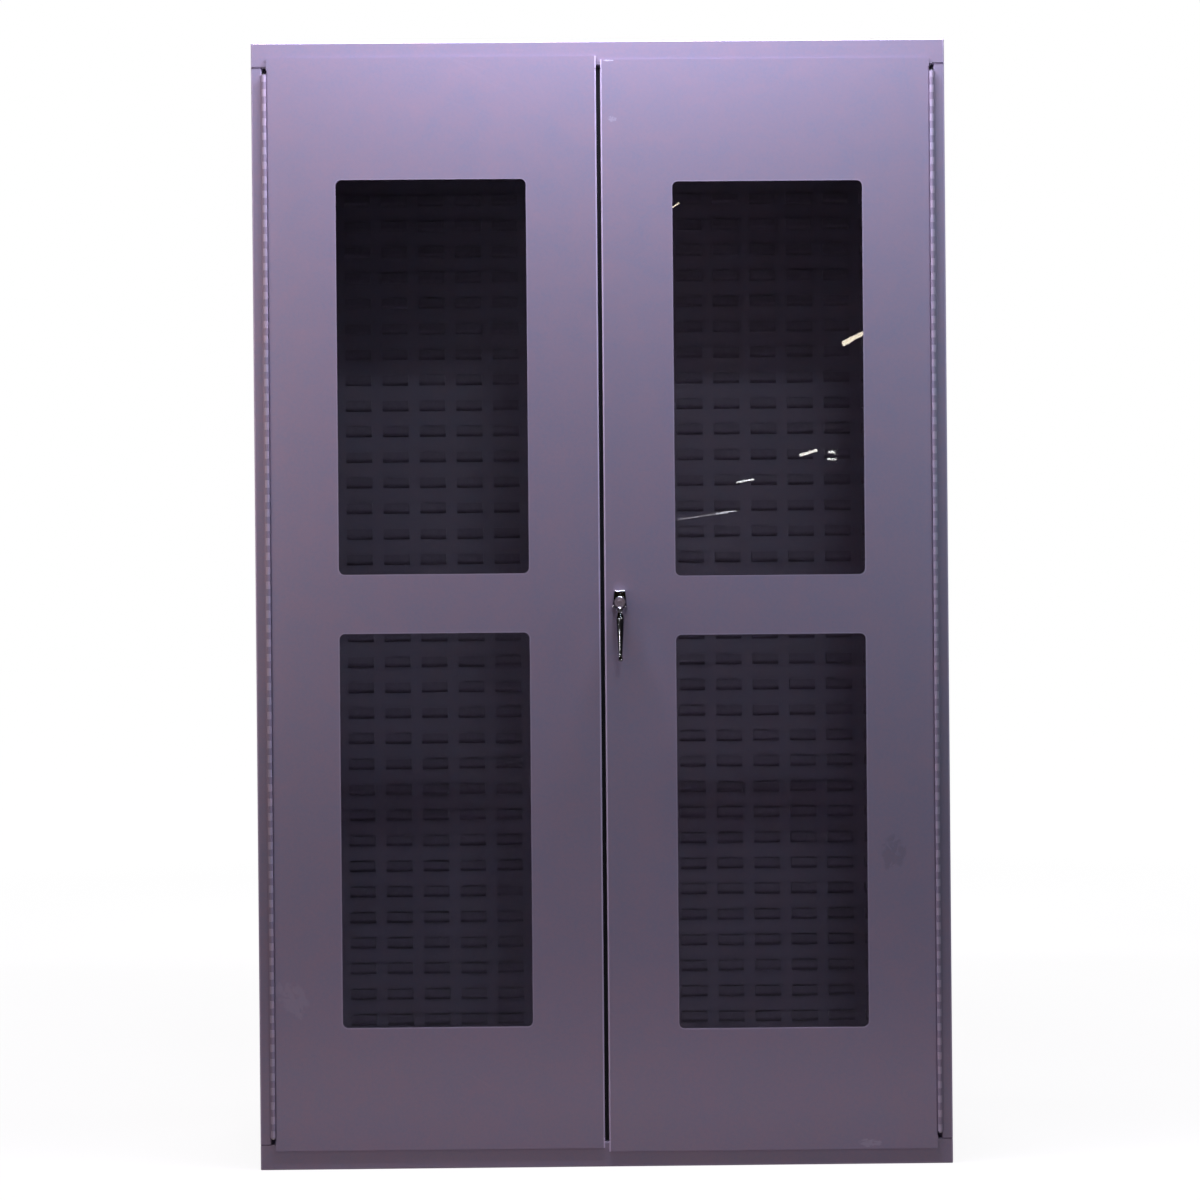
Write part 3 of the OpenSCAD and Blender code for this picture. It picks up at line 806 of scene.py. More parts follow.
@dataclass(frozen=True)
class ZincPlate(Finish):
    """Bright zinc-plated steel with a cloudy, faintly coloured passivation."""

    name: str = "zinc_plate"
    blue: Colour = (0.52, 0.56, 0.62)
    straw: Colour = (0.66, 0.62, 0.52)
    bright: Colour = (0.8, 0.8, 0.8)

    def material(self) -> Material:
        """The plating as a material."""
        material, g, shader, here = self.start()
        cloud = g.effect(Effects.clouds(), Vector=here, Size=0.02, Contrast=2.2)
        spangle = g.effect(Effects.clouds(), Vector=here, Size=0.0025, Contrast=1.4)
        scratch = g.effect(Effects.fine_scratches(), Vector=here, Spacing=0.01, Share=0.7)
        tinge = g.mix(cloud, self.blue, self.straw)
        g.wire(
            shader,
            Base_Color=g.mix(g.sum("MULTIPLY", spangle, 0.3), tinge, self.bright),
            Metallic=1.0,
            Roughness=g.worn(0.24, (spangle, 0.2), (scratch, 0.2)),
        )
        self.bump(g, shader, g.sum("ADD", spangle, scratch), 0.00002)
        return material


@dataclass(frozen=True)
class PolishedChrome(Finish):
    """Chrome on a polished casting, with handling smears and hairline scratches."""

    name: str = "polished_chrome"
    colour: Colour = (0.60, 0.59, 0.63)

    def material(self) -> Material:
        """The plating as a material."""
        material, g, shader, here = self.start()
        smear = g.effect(Effects.smears(), Vector=here, Size=0.012, Share=0.6)
        scratch = g.effect(Effects.fine_scratches(), Vector=here, Spacing=0.006, Share=0.5)
        g.wire(
            shader,
            Base_Color=g.mix(smear, self.colour, self.dimmed(self.colour, 0.86)),
            Metallic=1.0,
            Roughness=g.worn(0.07, (smear, 0.14), (scratch, 0.16)),
        )
        wave = g.effect(Effects.orange_peel(), Vector=here, Size=0.004, Waviness=2.0)
        self.bump(g, shader, wave, 0.00003)
        return material


@dataclass(frozen=True)
class TurnedSatin(Finish):
    """Satin nickel with the fine rings that facing on a lathe leaves round an axis."""

    centre: tuple[float, float, float]
    name: str = "turned_satin"
    colour: Colour = (0.33, 0.265, 0.285)
    ring: float = 0.0006

    def material(self) -> Material:
        """The turned metal as a material."""
        material, g, shader, here = self.start()
        rings = g.add("ShaderNodeTexWave", wave_type="RINGS", rings_direction="Y")
        point = g.place(here, self.centre, (1, 1, 1))
        g.wire(rings, Vector=point, Scale=0.314 / self.ring, Distortion=0.6, Detail=1.0)
        height = rings.outputs["Fac"]
        smear = g.effect(Effects.smears(), Vector=here, Size=0.008, Share=0.8)
        g.wire(
            shader,
            Base_Color=g.mix(smear, self.colour, self.dimmed(self.colour, 0.7)),
            Metallic=0.62,
            Roughness=g.worn(0.48, (height, 0.08), (smear, 0.1)),
        )
        self.bump(g, shader, height, 0.00003)
        return material


@dataclass(frozen=True)
class MouldedNylon(Finish):
    """Black moulded nylon with a spark-eroded grain, polished pale where a rod slides."""

    name: str = "moulded_nylon"
    colour: Colour = (0.022, 0.022, 0.024)
    worn: Colour = (0.06, 0.06, 0.062)
    dullness: tuple[float, float] = (0.55, 0.3)

    def material(self) -> Material:
        """The plastic as a material."""
        material, g, shader, here = self.start()
        grain = g.effect(Effects.orange_peel(), Vector=here, Size=0.0005, Waviness=0.5)
        patchy = g.effect(Effects.smears(), Vector=here, Size=0.01, Share=0.8)
        rough = g.spread(patchy, 0.0, 1.0, *self.dullness)
        g.wire(shader, Base_Color=g.mix(patchy, self.colour, self.worn), Roughness=rough)
        self.bump(g, shader, grain, 0.00005)
        return material


@dataclass(frozen=True)
class ClearPane(Finish):
    """Polycarbonate sheet, faintly wavy, with wiped smears and scratches, tinted grey so that the
    inside seen through it is darker: painted shade.
    """

    name: str
    # The grey tint darkens the inside seen through the sheet: painted shade.
    tint: Colour = (0.67, 0.67, 0.68)
    light: Colour = (0.99, 0.98, 1.0)
    glancing: Colour = (0.52, 0.52, 0.53)
    ior: float = 1.49
    wave: float = 0.00002

    def material(self) -> Material:
        """The sheet as a material that lets light through to what lies behind."""
        material, g, shader, here = self.start()
        smear = g.effect(Effects.smears(), Vector=here, Size=0.16, Share=1.0)
        scratch = g.effect(Effects.fine_scratches(), Vector=here, Spacing=0.05, Share=0.6)
        g.wire(
            shader,
            Base_Color=g.mix(smear, self.tint, self.dimmed(self.tint, 0.94)),
            Roughness=g.worn(0.004, (smear, 0.03), (scratch, 0.05)),
            Transmission_Weight=1.0,
            IOR=self.ior,
        )
        self.bump(g, shader, g.noise(here, 14.0, 1.0), self.wave)
        mirrored = g.wire(g.add("ShaderNodeFresnel"), IOR=self.ior)
        loss = g.sum("MULTIPLY", mirrored.outputs["Fac"], 3.0, clamp=True)
        through = g.add("ShaderNodeBsdfTransparent")
        g.wire(through, Color=g.mix(loss, self.light, self.glancing))
        both = g.by_ray("Is Shadow Ray", shader.outputs["BSDF"], through.outputs["BSDF"])
        g.wire(material.node_tree.nodes["Material Output"], Surface=both)
        return material


@dataclass(frozen=True)
class PaleFloor(Finish):
    """A dull, faintly uneven floor that the camera sees as nearly white."""

    name: str = "pale_floor"
    low: Colour = (0.11, 0.10, 0.10)
    high: Colour = (0.13, 0.12, 0.12)
    fade: tuple[float, float] = (1.0, 6.0)
    dimmest: float = 0.90

    def material(self) -> Material:
        """The floor as a material."""
        material, g, shader, here = self.start()
        uneven = g.effect(Effects.clouds(), Vector=here, Size=0.8)
        colour = g.mix(uneven, self.low, self.high)
        g.wire(shader, Base_Color=colour, Roughness=0.9, Specular_IOR_Level=0.1)
        away = g.add("ShaderNodeVectorMath", operation="LENGTH")
        g.feed(away.inputs[0], here)
        glow = g.spread(away.outputs["Value"], *self.fade, self.dimmest, 1.0)
        pale = g.wire(g.add("ShaderNodeEmission"), Color=WHITE, Strength=glow)
        lit = g.add("ShaderNodeAddShader")
        for socket, source in zip(lit.inputs, (shader.outputs["BSDF"], pale.outputs["Emission"])):
            g.feed(socket, source)
        both = g.by_ray("Is Camera Ray", shader.outputs["BSDF"], lit.outputs["Shader"])
        g.wire(material.node_tree.nodes["Material Output"], Surface=both)
        return material


def dress(piece: Piece, material: Material) -> None:
    """Gives a piece or a frame node its material.

    Args:
        piece: the object to dress.
        material: its material.
    """
    if not piece.material_slots:
        piece.data.materials.append(material)
    for slot in piece.material_slots:
        slot.material = material


def dress_nodes(material: Material, *nodes: str) -> None:
    """Gives frame nodes their material.

    Args:
        material: the material.
        nodes: the frame nodes' names.
    """
    for node in nodes:
        dress(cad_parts[node], material)


def place_on(piece: Piece, material: Material, body: str, slot: Slot, *nodes: str) -> None:
    """Dresses a new piece, lets it ride and hides what it stands for.

    Args:
        piece: the new piece.
        material: its material.
        body: the body that it rides on.
        slot: the record's slot that its finish comes from; not used.
        nodes: the frame nodes that it replaces.
    """
    dress(piece, material)
    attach(piece, body)
    if nodes:
        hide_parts(*nodes)
    log.info("piece %s rides on %s, %d faces", piece.name, body, len(piece.data.polygons))


# ---------- The cabinet ----------


@dataclass
class Paints:
    """Every finish of the cabinet as a material, made once."""

    shell: Material
    hinge: Material
    left_door: Material
    right_door: Material
    louvers: Material
    seam: Material
    zinc: Material
    chrome: Material
    nylon: Material
    rubber: Material
    left_pane: Material
    right_pane: Material

    @staticmethod
    def door_rims(side: int, drop: float) -> tuple[Rim, ...]:
        """Painted highlights along the free edge of a door and the edges of its two windows.

        Args:
            side: -1 for the left door and 1 for the right one.
            drop: how far the door hangs off the mean height.

        Returns:
            The painted highlight lines.
        """
        middle = MIDDLE_Z + drop
        # Painted highlights round the edges of the windows.
        panes = (
            Rim((side * WINDOW_X, middle + up), WINDOW_HALF, 0.010, 0.0024, 0.16)
            for up in (-WINDOW_UP, WINDOW_UP)
        )
        # A painted highlight along the door's free edge beside the gap.
        edge = Rim((side * 0.50375, middle), (0.5, 2.0), 0.0, 0.0030, 0.9)
        return (edge, *panes)

    @staticmethod
    def coat(part: str, colour: Colour = (0.300, 0.252, 0.330), **settings: object) -> Material:
        """One of the powder coats, grey unless another colour is given."""
        return PowderCoat(f"{part}_powder_coat", colour, **settings).material()

    @classmethod
    def mixed(cls) -> "Paints":
        """Mixes all the finishes."""
        pale, dark = (0.62, 0.58, 0.70), (0.10, 0.09, 0.11)
        left = (
            Spot((-0.30, 0.70), (0.05, 0.03), dark, 0.12, 20.0),
            Spot((-0.55, 0.30), (0.03, 0.05), pale, 0.10, -30.0),
        )
        right = (
            # A painted highlight where the right door's top edge catches the light beside the gap.
            Spot((0.0179, 1.9457), (0.012, 0.0018), pale, 1.0),
            Spot((0.024, 1.8427), (0.010, 0.007), pale, 0.25),
            Spot((0.5075, 0.5479), (0.028, 0.042), dark, 0.22, 15.0),
            Spot((0.4627, 0.0376), (0.026, 0.010), pale, 0.22),
        )
        # A painted highlight along the cabinet's front outline.
        face = Rim((0.0, MIDDLE_Z), (HALF_WIDTH, MIDDLE_Z), 0.002, 0.0032, 0.5)
        # Near-black finish for the strip behind the doors' gap: painted shade.
        rubber = MouldedNylon(
            "black_rubber", (0.004, 0.004, 0.006), (0.008, 0.008, 0.010), (0.95, 0.85)
        )
        return cls(
            shell=cls.coat("shell", front=FRONT_Y, rims=(face,)),
            # The frame leaves are painted paler than the doors, so that their knuckles show as lit
            # ticks on the hinge barrel: a painted highlight.
            hinge=cls.coat("hinge", (0.46, 0.39, 0.48)),
            left_door=cls.coat("left_door", spots=left, rims=cls.door_rims(-1, DOOR_DROP)),
            right_door=cls.coat("right_door", spots=right, rims=cls.door_rims(1, -DOOR_DROP)),
            # The louver faces are darker where they stand proud of the sheet.
            louvers=cls.coat(
                "louver", (0.285, 0.243, 0.318), roughness=0.5, dust=0.1, rubbed_from=0.2852
            ),
            # Near-black purple for the seam lines: painted shade of the seams' grooves.
            seam=cls.coat("seam", (0.13, 0.09, 0.15), roughness=0.6),
            zinc=ZincPlate().material(),
            chrome=PolishedChrome().material(),
            nylon=MouldedNylon().material(),
            rubber=rubber.material(),
            # The panes' grey tint darkens the inside seen through them: painted shade.
            left_pane=ClearPane("left_window_sheet").material(),
            right_pane=ClearPane("right_window_sheet", wave=0.00003).material(),
        )


@dataclass
class Shell:
    """The welded box: pans, sides, back, louvered sheets and the seams between them."""

    paints: Paints
    side_x: float = HALF_WIDTH
    front_y: float = FRONT_Y
    header_z: float = 1.9367
    sill_z: float = 0.0445
    seam: float = 0.0016
    seam_end: float = 0.0012
    proud: float = 0.0002
    jamb_edge: float = 0.5905
    barrel_x: float = 0.59068
    hinge_ends: tuple[float, float] = (0.0573, 1.9239)
    bead: tuple[float, float] = (0.0028, 0.0028)
    def dress(self) -> None:
        """Paints the frame nodes of the shell."""
        sheets = ("top_pan", "bottom_pan", "left_side", "right_side", "back_panel", "floor_channel")
        dress_nodes(self.paints.shell, *sheets)
        dress_nodes(self.paints.louvers, "left_louver_panel", "right_louver_panel", "panel_spacers")
        log.info("shell painted")

    def seam_bead(self, name: str, side: int, height: float) -> Piece:
        """A thin dark line, a little proud, where a jamb is welded to the header or the sill: the
        seam's own line, darkened as painted shade of its groove.

        Args:
            name: the piece's name.
            side: -1 for the left jamb and 1 for the right one.
            height: where the seam runs.

        Returns:
            The new piece.
        """
        x0, x1 = sorted((side * self.jamb_edge, side * (self.side_x - self.seam_end)))
        low = (x0, self.front_y - self.proud, height - self.seam / 2)
        high = (x1, self.front_y + self.proud, height + self.seam / 2)
        bead = Bench.block(name, low, high)
        bevel = self.proud * 0.8
        Bench.soften(bead, bevel, 2, lambda e: all(v.co.y < self.front_y for v in e.verts))
        return Bench.smooth(bead)

    def hinge_bead(self, name: str, side: int) -> Piece:
        """The paint-filled corner between a jamb and the hinge barrel beside it.

        Args:
            name: the piece's name.
            side: -1 for the left jamb and 1 for the right one.

        Returns:
            The new piece.
        """
        x0, x1 = sorted((side * self.barrel_x, side * (self.barrel_x + self.bead[0])))
        low = (x0, self.front_y - self.bead[1], self.hinge_ends[0])
        high = (x1, self.front_y + self.proud, self.hinge_ends[1])
        bead = Bench.block(name, low, high)
        with Bench.editing(bead):
            outer = self.barrel_x + self.bead[0] / 2
            Bench.pick(bead, "VERT", lambda v: v.co.y < self.front_y and abs(v.co.x) > outer)
            bpy.ops.transform.translate(value=(0, self.bead[1] - self.proud, 0))
        return Bench.smooth(bead)

    def model(self) -> None:
        """Models and dresses the seams and beads on the front of the jambs."""
        for word, side in (("left", -1), ("right", 1)):
            for place, height in (("header", self.header_z), ("sill", self.sill_z)):
                bead = self.seam_bead(f"{word}_{place}_seam", side, height)
                place_on(bead, self.paints.seam, "cabinet", Slot.SHELL)
            bead = self.hinge_bead(f"{word}_hinge_bead", side)
            place_on(bead, self.paints.shell, "cabinet", Slot.SHELL)


@dataclass
class WindowFasteners:
    """The threaded studs and flanged nuts that clamp a door's panes."""

    side: Side
    stud_r: float = 0.0025
    pitch: float = 0.0009
    thread: float = 0.0003
    flange_r: float = 0.0054
    flange_t: float = 0.0009
    nut_af: float = 0.008

    def stud(self, foot: Vector, length: float) -> Piece:
        """One threaded stud.

        Args:
            foot: where it starts, on the door's skin.
            length: how far it reaches back.

        Returns:
            The new piece.
        """
        smooth_l = length * 0.45
        stations = [(0.0, self.stud_r), (smooth_l, self.stud_r)]
        way = smooth_l
        while way + self.pitch < length - 0.0004:
            stations.append((way + self.pitch * 0.5, self.stud_r - self.thread))
            stations.append((way + self.pitch, self.stud_r))
            way += self.pitch
        stations.append((length, self.stud_r - self.thread))
        return Bench.turned("stud", foot, stations, sides=12)

    def nut(self, foot: Vector, length: float) -> Piece:
        """One hexagon nut with a round flange and a chamfered end.

        Args:
            foot: its middle, on the retaining strip.
            length: its height.

        Returns:
            The new piece.
        """
        radius = self.nut_af / 2 / math.cos(math.pi / 6)
        Bench.take()
        bpy.ops.mesh.primitive_cylinder_add(
            vertices=6,
            radius=radius,
            depth=length - self.flange_t,
            location=foot + Vector((0, (length + self.flange_t) / 2, 0)),
            rotation=(math.pi / 2, 0, 0),
        )
        hexagon = Bench.settle(Bench.named("nut"))
        end = foot.y + length - NEAR
        Bench.soften(hexagon, 0.0005, 2, lambda e: all(v.co.y > end for v in e.verts))
        with Bench.editing(hexagon):
            Bench.pick(hexagon, "FACE", lambda f: f.normal.y > 0.9 and len(f.verts) >= 6)
            bpy.ops.mesh.inset(thickness=radius * 0.3)
            bpy.ops.transform.translate(value=(0, -0.0004, 0))
        washer = Bench.turned(
            "flange",
            foot,
            [
                (0.0, self.flange_r),
                (self.flange_t * 0.5, self.flange_r),
                (self.flange_t, self.flange_r - 0.0006),
                (self.flange_t * 1.4, radius * 0.8),
            ],
            sides=18,
        )
        return Bench.join("nut", [washer, hexagon])

    def model(self, zinc: Material) -> None:
        """Models one stud and one nut, copies them to every place and dresses them.

        Args:
            zinc: their finish.
        """
        door = f"{self.side.value}_door"
        for kind, maker in (("studs", self.stud), ("nuts", self.nut)):
            node = f"{self.side.value}_window_{kind}"
            places = islands(node, 0.014)
            centres = [Vector(((a.x + b.x) / 2, a.y, (a.z + b.z) / 2)) for a, b in places]
            first = maker(centres[0], places[0][1].y - places[0][0].y)
            Bench.smooth(first, 40)
            copies = [Bench.copy(first, centre - centres[0]) for centre in centres[1:]]
            piece = Bench.join(f"{self.side.value}_{kind}_cut", [*copies, first])
            place_on(piece, zinc, door, Slot.ZINC, node)


@dataclass
class Door:
    """One door: the formed pan, its hinge leaves, stiffeners, panes and retaining strips."""

    side: Side
    paints: Paints
    lip_low: tuple[float, float, float] = (-0.00376, -0.3019, 0.0475)
    lip_high: tuple[float, float, float] = (0.0031, -0.3007, 1.9335)

    def dress(self) -> None:
        """Paints and glazes the frame nodes of the door."""
        word = self.side.value
        left = self.side is Side.LEFT
        paint = self.paints.left_door if left else self.paints.right_door
        pane = self.paints.left_pane if left else self.paints.right_pane
        for material, nodes in (
            (paint, ("door_pan", "door_stiffeners", "door_leaf")),
            (paint, ("upper_retainers", "lower_retainers")),
            # Paler paint on the frame leaf: a painted highlight on its knuckles.
            (self.paints.hinge, ("frame_leaf",)),
            (self.paints.zinc, ("hinge_pin",)),
            (pane, ("upper_pane", "lower_pane")),
        ):
            dress_nodes(material, *(f"{word}_{node}" for node in nodes))
        log.info("%s door painted and glazed", word)

    def lip(self) -> Piece:
        """A near-black strip along the left door behind the gap between the doors: painted shade of
        the gap.
        """
        lip = Bench.block("gap_lip", self.lip_low, self.lip_high)
        tip = self.lip_high[0] - NEAR
        Bench.soften(lip, 0.0004, 3, lambda e: all(v.co.x > tip for v in e.verts))
        return Bench.smooth(lip)

    def model(self) -> None:
        """Models the fasteners of the door's windows, and the left door's lip."""
        WindowFasteners(self.side).model(self.paints.zinc)
        if self.side is Side.LEFT:
            place_on(self.lip(), self.paints.rubber, "left_door", Slot.NYLON)


@dataclass
class LockSet:
    """The swinging lever with its cast escutcheon, lock cylinder, cam and rods."""

    paints: Paints
    axis_x: float = 0.03005
    axis_z: float = 0.99335
    skin_front: float = SKIN_Y
    skin_back: float = -0.3054
    face_y: float = -0.3203
    foot_t: float = 0.006
    collar_pitch: float = 0.0015
    collar_thread: float = 0.0007
    low_half: float = 0.0136
    high_half: float = 0.011
    low_z: float = -0.0118
    high_z: float = 0.022
    corner_r: float = 0.003
    face_inset: float = 0.0019
    bore_r: float = 0.00805
    collar_r: float = 0.011
    collar_back: float = -0.2984
    hub_r: float = 0.0104
    hub_front: float = -0.3326
    hub_back: float = -0.3206
    lobe_r: float = 0.0076
    drop: float = 0.013
    lever_y: float = -0.3463
    shank_back: float = -0.2981
    square: float = 0.009
    square_back: float = -0.2945
    plug_front: float = -0.3337
    plug_back: float = -0.3217

    @property
    def axis(self) -> Vector:
        """The lever's axis where it meets the frame's Y origin."""
        return Vector((self.axis_x, 0.0, self.axis_z))

    @staticmethod
    def along(*pairs: tuple[float, float]) -> list[tuple[float, float]]:
        """Stations along an axis in millimetres, as metres.

        Args:
            pairs: the way and the radius of each station.

        Returns:
            The same stations in metres.
        """
        return [(y / 1000, r / 1000) for y, r in pairs]

    def escutcheon(self) -> Piece:
        """The cast housing: a tapered foot, a bevelled face, a bore and a threaded collar."""
        x, z = self.axis_x, self.axis_z
        foot_y = self.skin_front - self.foot_t
        casting = Bench.block(
            "escutcheon_casting",
            (x - self.low_half, foot_y, z + self.low_z),
            (x + self.low_half, self.skin_front, z + self.high_z),
        )
        middle = Vector((x, foot_y, z + (self.low_z + self.high_z) / 2))
        with Bench.editing(casting):
            Bench.pick(casting, "VERT", lambda v: v.co.z > z + self.high_z - NEAR)
            bpy.ops.transform.resize(
                value=(self.high_half / self.low_half, 1, 1), center_override=middle
            )
        Bench.soften(
            casting,
            self.corner_r,
            7,
            lambda e: abs((e.verts[0].co - e.verts[1].co).y) > self.foot_t * 0.9,
        )
        tall = self.high_z - self.low_z
        with Bench.editing(casting):
            Bench.pick(casting, "FACE", lambda f: f.normal.y < -0.9)
            for part, shrink in ((0.35, 0.12), (0.40, 0.33), (0.25, 0.55)):
                bpy.ops.mesh.extrude_region_move(
                    TRANSFORM_OT_translate={"value": (0, (self.face_y - foot_y) * part, 0)}
                )
                step = 2 * self.face_inset * shrink
                bpy.ops.transform.resize(
                    value=(1 - step / (2 * self.low_half), 1, 1 - step / tall),
                    center_override=middle,
                )
        Bench.soften(
            casting,
            0.0009,
            4,
            lambda e: all(v.co.y < self.face_y + NEAR for v in e.verts),
        )
        crest, root = self.collar_r, self.collar_r - self.collar_thread
        collar = [(self.skin_front - 0.001, crest), (self.skin_back, crest)]
        way, pitch = self.skin_back, self.collar_pitch
        while way + pitch < self.collar_back:
            collar += [(way + pitch / 2, root), (way + pitch, crest)]
            way += pitch
        collar.append((self.collar_back, root))
        Bench.combine(casting, Bench.turned("collar", self.axis, collar, sides=48), Way.ADD)
        bore = [(self.face_y - 0.01, self.bore_r), (self.collar_back + 0.01, self.bore_r)]
        Bench.combine(casting, Bench.turned("bore", self.axis, bore, sides=48), Way.CUT)
        return Bench.smooth(Bench.outward(casting), 32)

    def hub(self) -> Piece:
        """The lever's teardrop hub, round at the cylinder and drawn down to the neck."""
        Bench.take()
        bpy.ops.mesh.primitive_cylinder_add(
            vertices=64,
            radius=self.hub_r,
            depth=self.hub_back - self.hub_front,
            location=(self.axis_x, (self.hub_front + self.hub_back) / 2, self.axis_z),
            rotation=(math.pi / 2, 0, 0),
        )
        hub = Bench.settle(Bench.named("hub"))
        small = self.lobe_r / self.hub_r
        with Bench.editing(hub):
            Bench.pick(hub, "VERT", lambda v: v.co.z < self.axis_z - 0.0005)
            bpy.ops.transform.resize(value=(small, 1, small), center_override=self.axis)
            bpy.ops.transform.translate(value=(0, 0, -self.drop))
        rims = (self.hub_front, self.hub_back)
        for rim, width in zip(rims, (0.0018, 0.0008)):
            Bench.soften(hub, width, 4, lambda e: all(abs(v.co.y - rim) < NEAR for v in e.verts))
        return hub

    def lever(self) -> Piece:
        """The lever in one casting: hub, neck, elbow, tapered grip, shank and square."""
        lower = self.axis - Vector((0, 0, self.drop))
        neck = Bench.turned(
            "neck",
            lower,
            self.along(
                (-329.0, 7.47), (-332.4, 7.47), (-333.4, 7.2), (-335.0, 6.75), (-338.0, 6.6),
                (-346.3, 6.6), (-348.0, 6.38), (-349.6, 5.7), (-350.9, 4.7), (-351.9, 3.4),
                (-352.6, 1.9), (-352.9, 0),
            ),
            sides=48,
        )
        grip = Bench.turned(
            "grip",
            lower + Vector((0, self.lever_y, 0)),
            self.along(
                (0.0, 5.6), (-5.8, 5.7), (-7.6, 6.1), (-9.4, 6.9), (-11.2, 7.7), (-12.6, 8.1),
                (-14.0, 8.2), (-16.0, 8.12), (-20.0, 7.75), (-28.0, 7.05), (-41.0, 6.15),
                (-60.0, 5.1), (-74.0, 4.25), (-80.0, 3.9), (-82.6, 3.85), (-83.8, 4.05),
                (-85.0, 4.4), (-86.4, 4.6), (-87.8, 4.45), (-89.0, 3.9), (-90.0, 3.0),
                (-90.7, 1.8), (-91.0, 0),
            ),
            axis=Axis.HEIGHT,
            sides=48,
        )
        shank = Bench.turned(
            "shank",
            self.axis,
            self.along((-322.6, 8.0), (-298.6, 8.0), (-298.1, 7.6)),
            sides=48,
        )
        lever = Bench.combine(self.hub(), neck, Way.ADD)
        Bench.combine(lever, grip, Way.ADD)
        Bench.combine(lever, shank, Way.ADD)
        pocket = self.along((-340.0, 5.85), (-317.1, 5.85))
        Bench.combine(lever, Bench.turned("pocket", self.axis, pocket, sides=48), Way.CUT)
        Bench.soften(
            lever,
            0.0007,
            3,
            lambda e: e.is_manifold
            and e.calc_face_angle_signed(0.0) < -0.45
            and all(v.co.y < self.hub_back - 0.0004 for v in e.verts),
        )
        half = self.square / 2
        drive = Bench.block(
            "drive",
            (self.axis_x - half, self.shank_back - 0.001, self.axis_z - half),
            (self.axis_x + half, self.square_back, self.axis_z + half),
        )
        Bench.soften(drive, 0.0006, 2, lambda e: True)
        lever = Bench.join("lever_casting", [drive, lever])
        return Bench.smooth(Bench.outward(lever), 40)

    def cylinder_face(self) -> Piece:
        """The lock cylinder with its dished head, bored for the plug."""
        head = self.along(
            (-317.6, 5.8), (-332.55, 5.8), (-332.6, 8.9), (-333.0, 9.1), (-333.3, 8.9),
            (-333.4, 8.5), (-333.4, 7.5), (-333.1, 7.1), (-333.1, 5.5), (-333.35, 5.1),
            (-333.35, 4.3), (-319.2, 4.3),
        )
        return Bench.smooth(Bench.turned("lock_cylinder_head", self.axis, head, sides=56), 28)

    def plug_face(self) -> Piece:
        """The plug that the key turns, with a warded keyway cut in its face."""
        front, back = self.plug_front * 1000, self.plug_back * 1000
        plug = Bench.turned(
            "key_plug_head",
            self.axis,
            self.along((back, 4.2), (front + 0.25, 4.2), (front, 3.95)),
            sides=40,
        )
        for x0, x1, z0, z1 in ((-0.55, 0.55, -3.0, 3.0), (-1.1, 0.2, -0.9, 0.4)):
            slot = Bench.block(
                "keyway",
                (self.axis_x + x0 / 1000, self.plug_front - 0.002, self.axis_z + z0 / 1000),
                (self.axis_x + x1 / 1000, self.plug_front + 0.008, self.axis_z + z1 / 1000),
            )
            Bench.soften(slot, 0.0001, 1, lambda e: abs((e.verts[0].co - e.verts[1].co).y) > 0.005)
            Bench.combine(plug, slot, Way.CUT)
        return Bench.smooth(Bench.outward(plug), 30)

    def model(self) -> None:
        """Models and dresses the castings, the cylinder and the plug."""
        chrome = self.paints.chrome
        satin = TurnedSatin((self.axis_x, self.plug_front, self.axis_z)).material()
        for work in (
            (self.escutcheon(), chrome, "right_door", Slot.CHROME, "escutcheon"),
            (self.lever(), chrome, "lever_handle", Slot.CHROME, "handle"),
            (self.cylinder_face(), satin, "lever_handle", Slot.SATIN, "lock_core"),
            (self.plug_face(), satin, "key_plug", Slot.SATIN, "key_plug"),
        ):
            place_on(*work)

    def dress(self) -> None:
        """Plates the lock's working parts and dresses the rod guides."""
        plated = ("strike_plate", "lock_plate", "collar_nut", "cam", "cam_pins", "cam_screw")
        dress_nodes(self.paints.zinc, *plated, "upper_rod", "lower_rod")
        dress_nodes(self.paints.nylon, "rod_guides")
        log.info("lock plated")


# ---------- The stage ----------


@dataclass(frozen=True)
class Lamp:
    """A rectangular studio lamp that faces a point."""

    name: str
    place: tuple[float, float, float]
    target: tuple[float, float, float]
    size: tuple[float, float]
    power: float
    tint: Colour = WHITE
    turn: float = 0.0
    mirrored: bool = True
    shines: bool = True

    def hang(self) -> None:
        """Adds the lamp and turns it to its target."""
        Bench.take()
        bpy.ops.object.light_add(type="AREA", location=self.place)
        lamp = bpy.context.object
        lamp.name = self.name
        lamp.data.shape = "RECTANGLE"
        lamp.data.size, lamp.data.size_y = self.size
        lamp.data.energy = self.power
        lamp.data.color = self.tint
        way = Vector(self.target) - Vector(self.place)
        aim = way.to_track_quat("-Z", "Y").to_matrix() @ Matrix.Rotation(
            math.radians(self.turn), 3, "Z"
        )
        lamp.rotation_euler = aim.to_euler()
        lamp.visible_camera = False
        lamp.visible_glossy = self.mirrored
        lamp.visible_diffuse = self.shines


@dataclass(frozen=True)
class Glint:
    """A far ceiling lamp that shows as a streak in the right door's window."""

    place: tuple[float, float]
    size: tuple[float, float]
    turn: float
    tint: Colour
    radiance: float = 14.0

    def lamp(self, name: str, depth: float) -> Lamp:
        """The lamp that the window mirrors.

        Args:
            name: the lamp's name.
            depth: where it stands along Y.

        Returns:
            The lamp.
        """
        power = self.radiance * math.pi * self.size[0] * self.size[1]
        place = (self.place[0], depth, self.place[1])
        aim = (0.3, -0.3, 1.4)
        return Lamp(name, place, aim, self.size, power, self.tint, self.turn, shines=False)


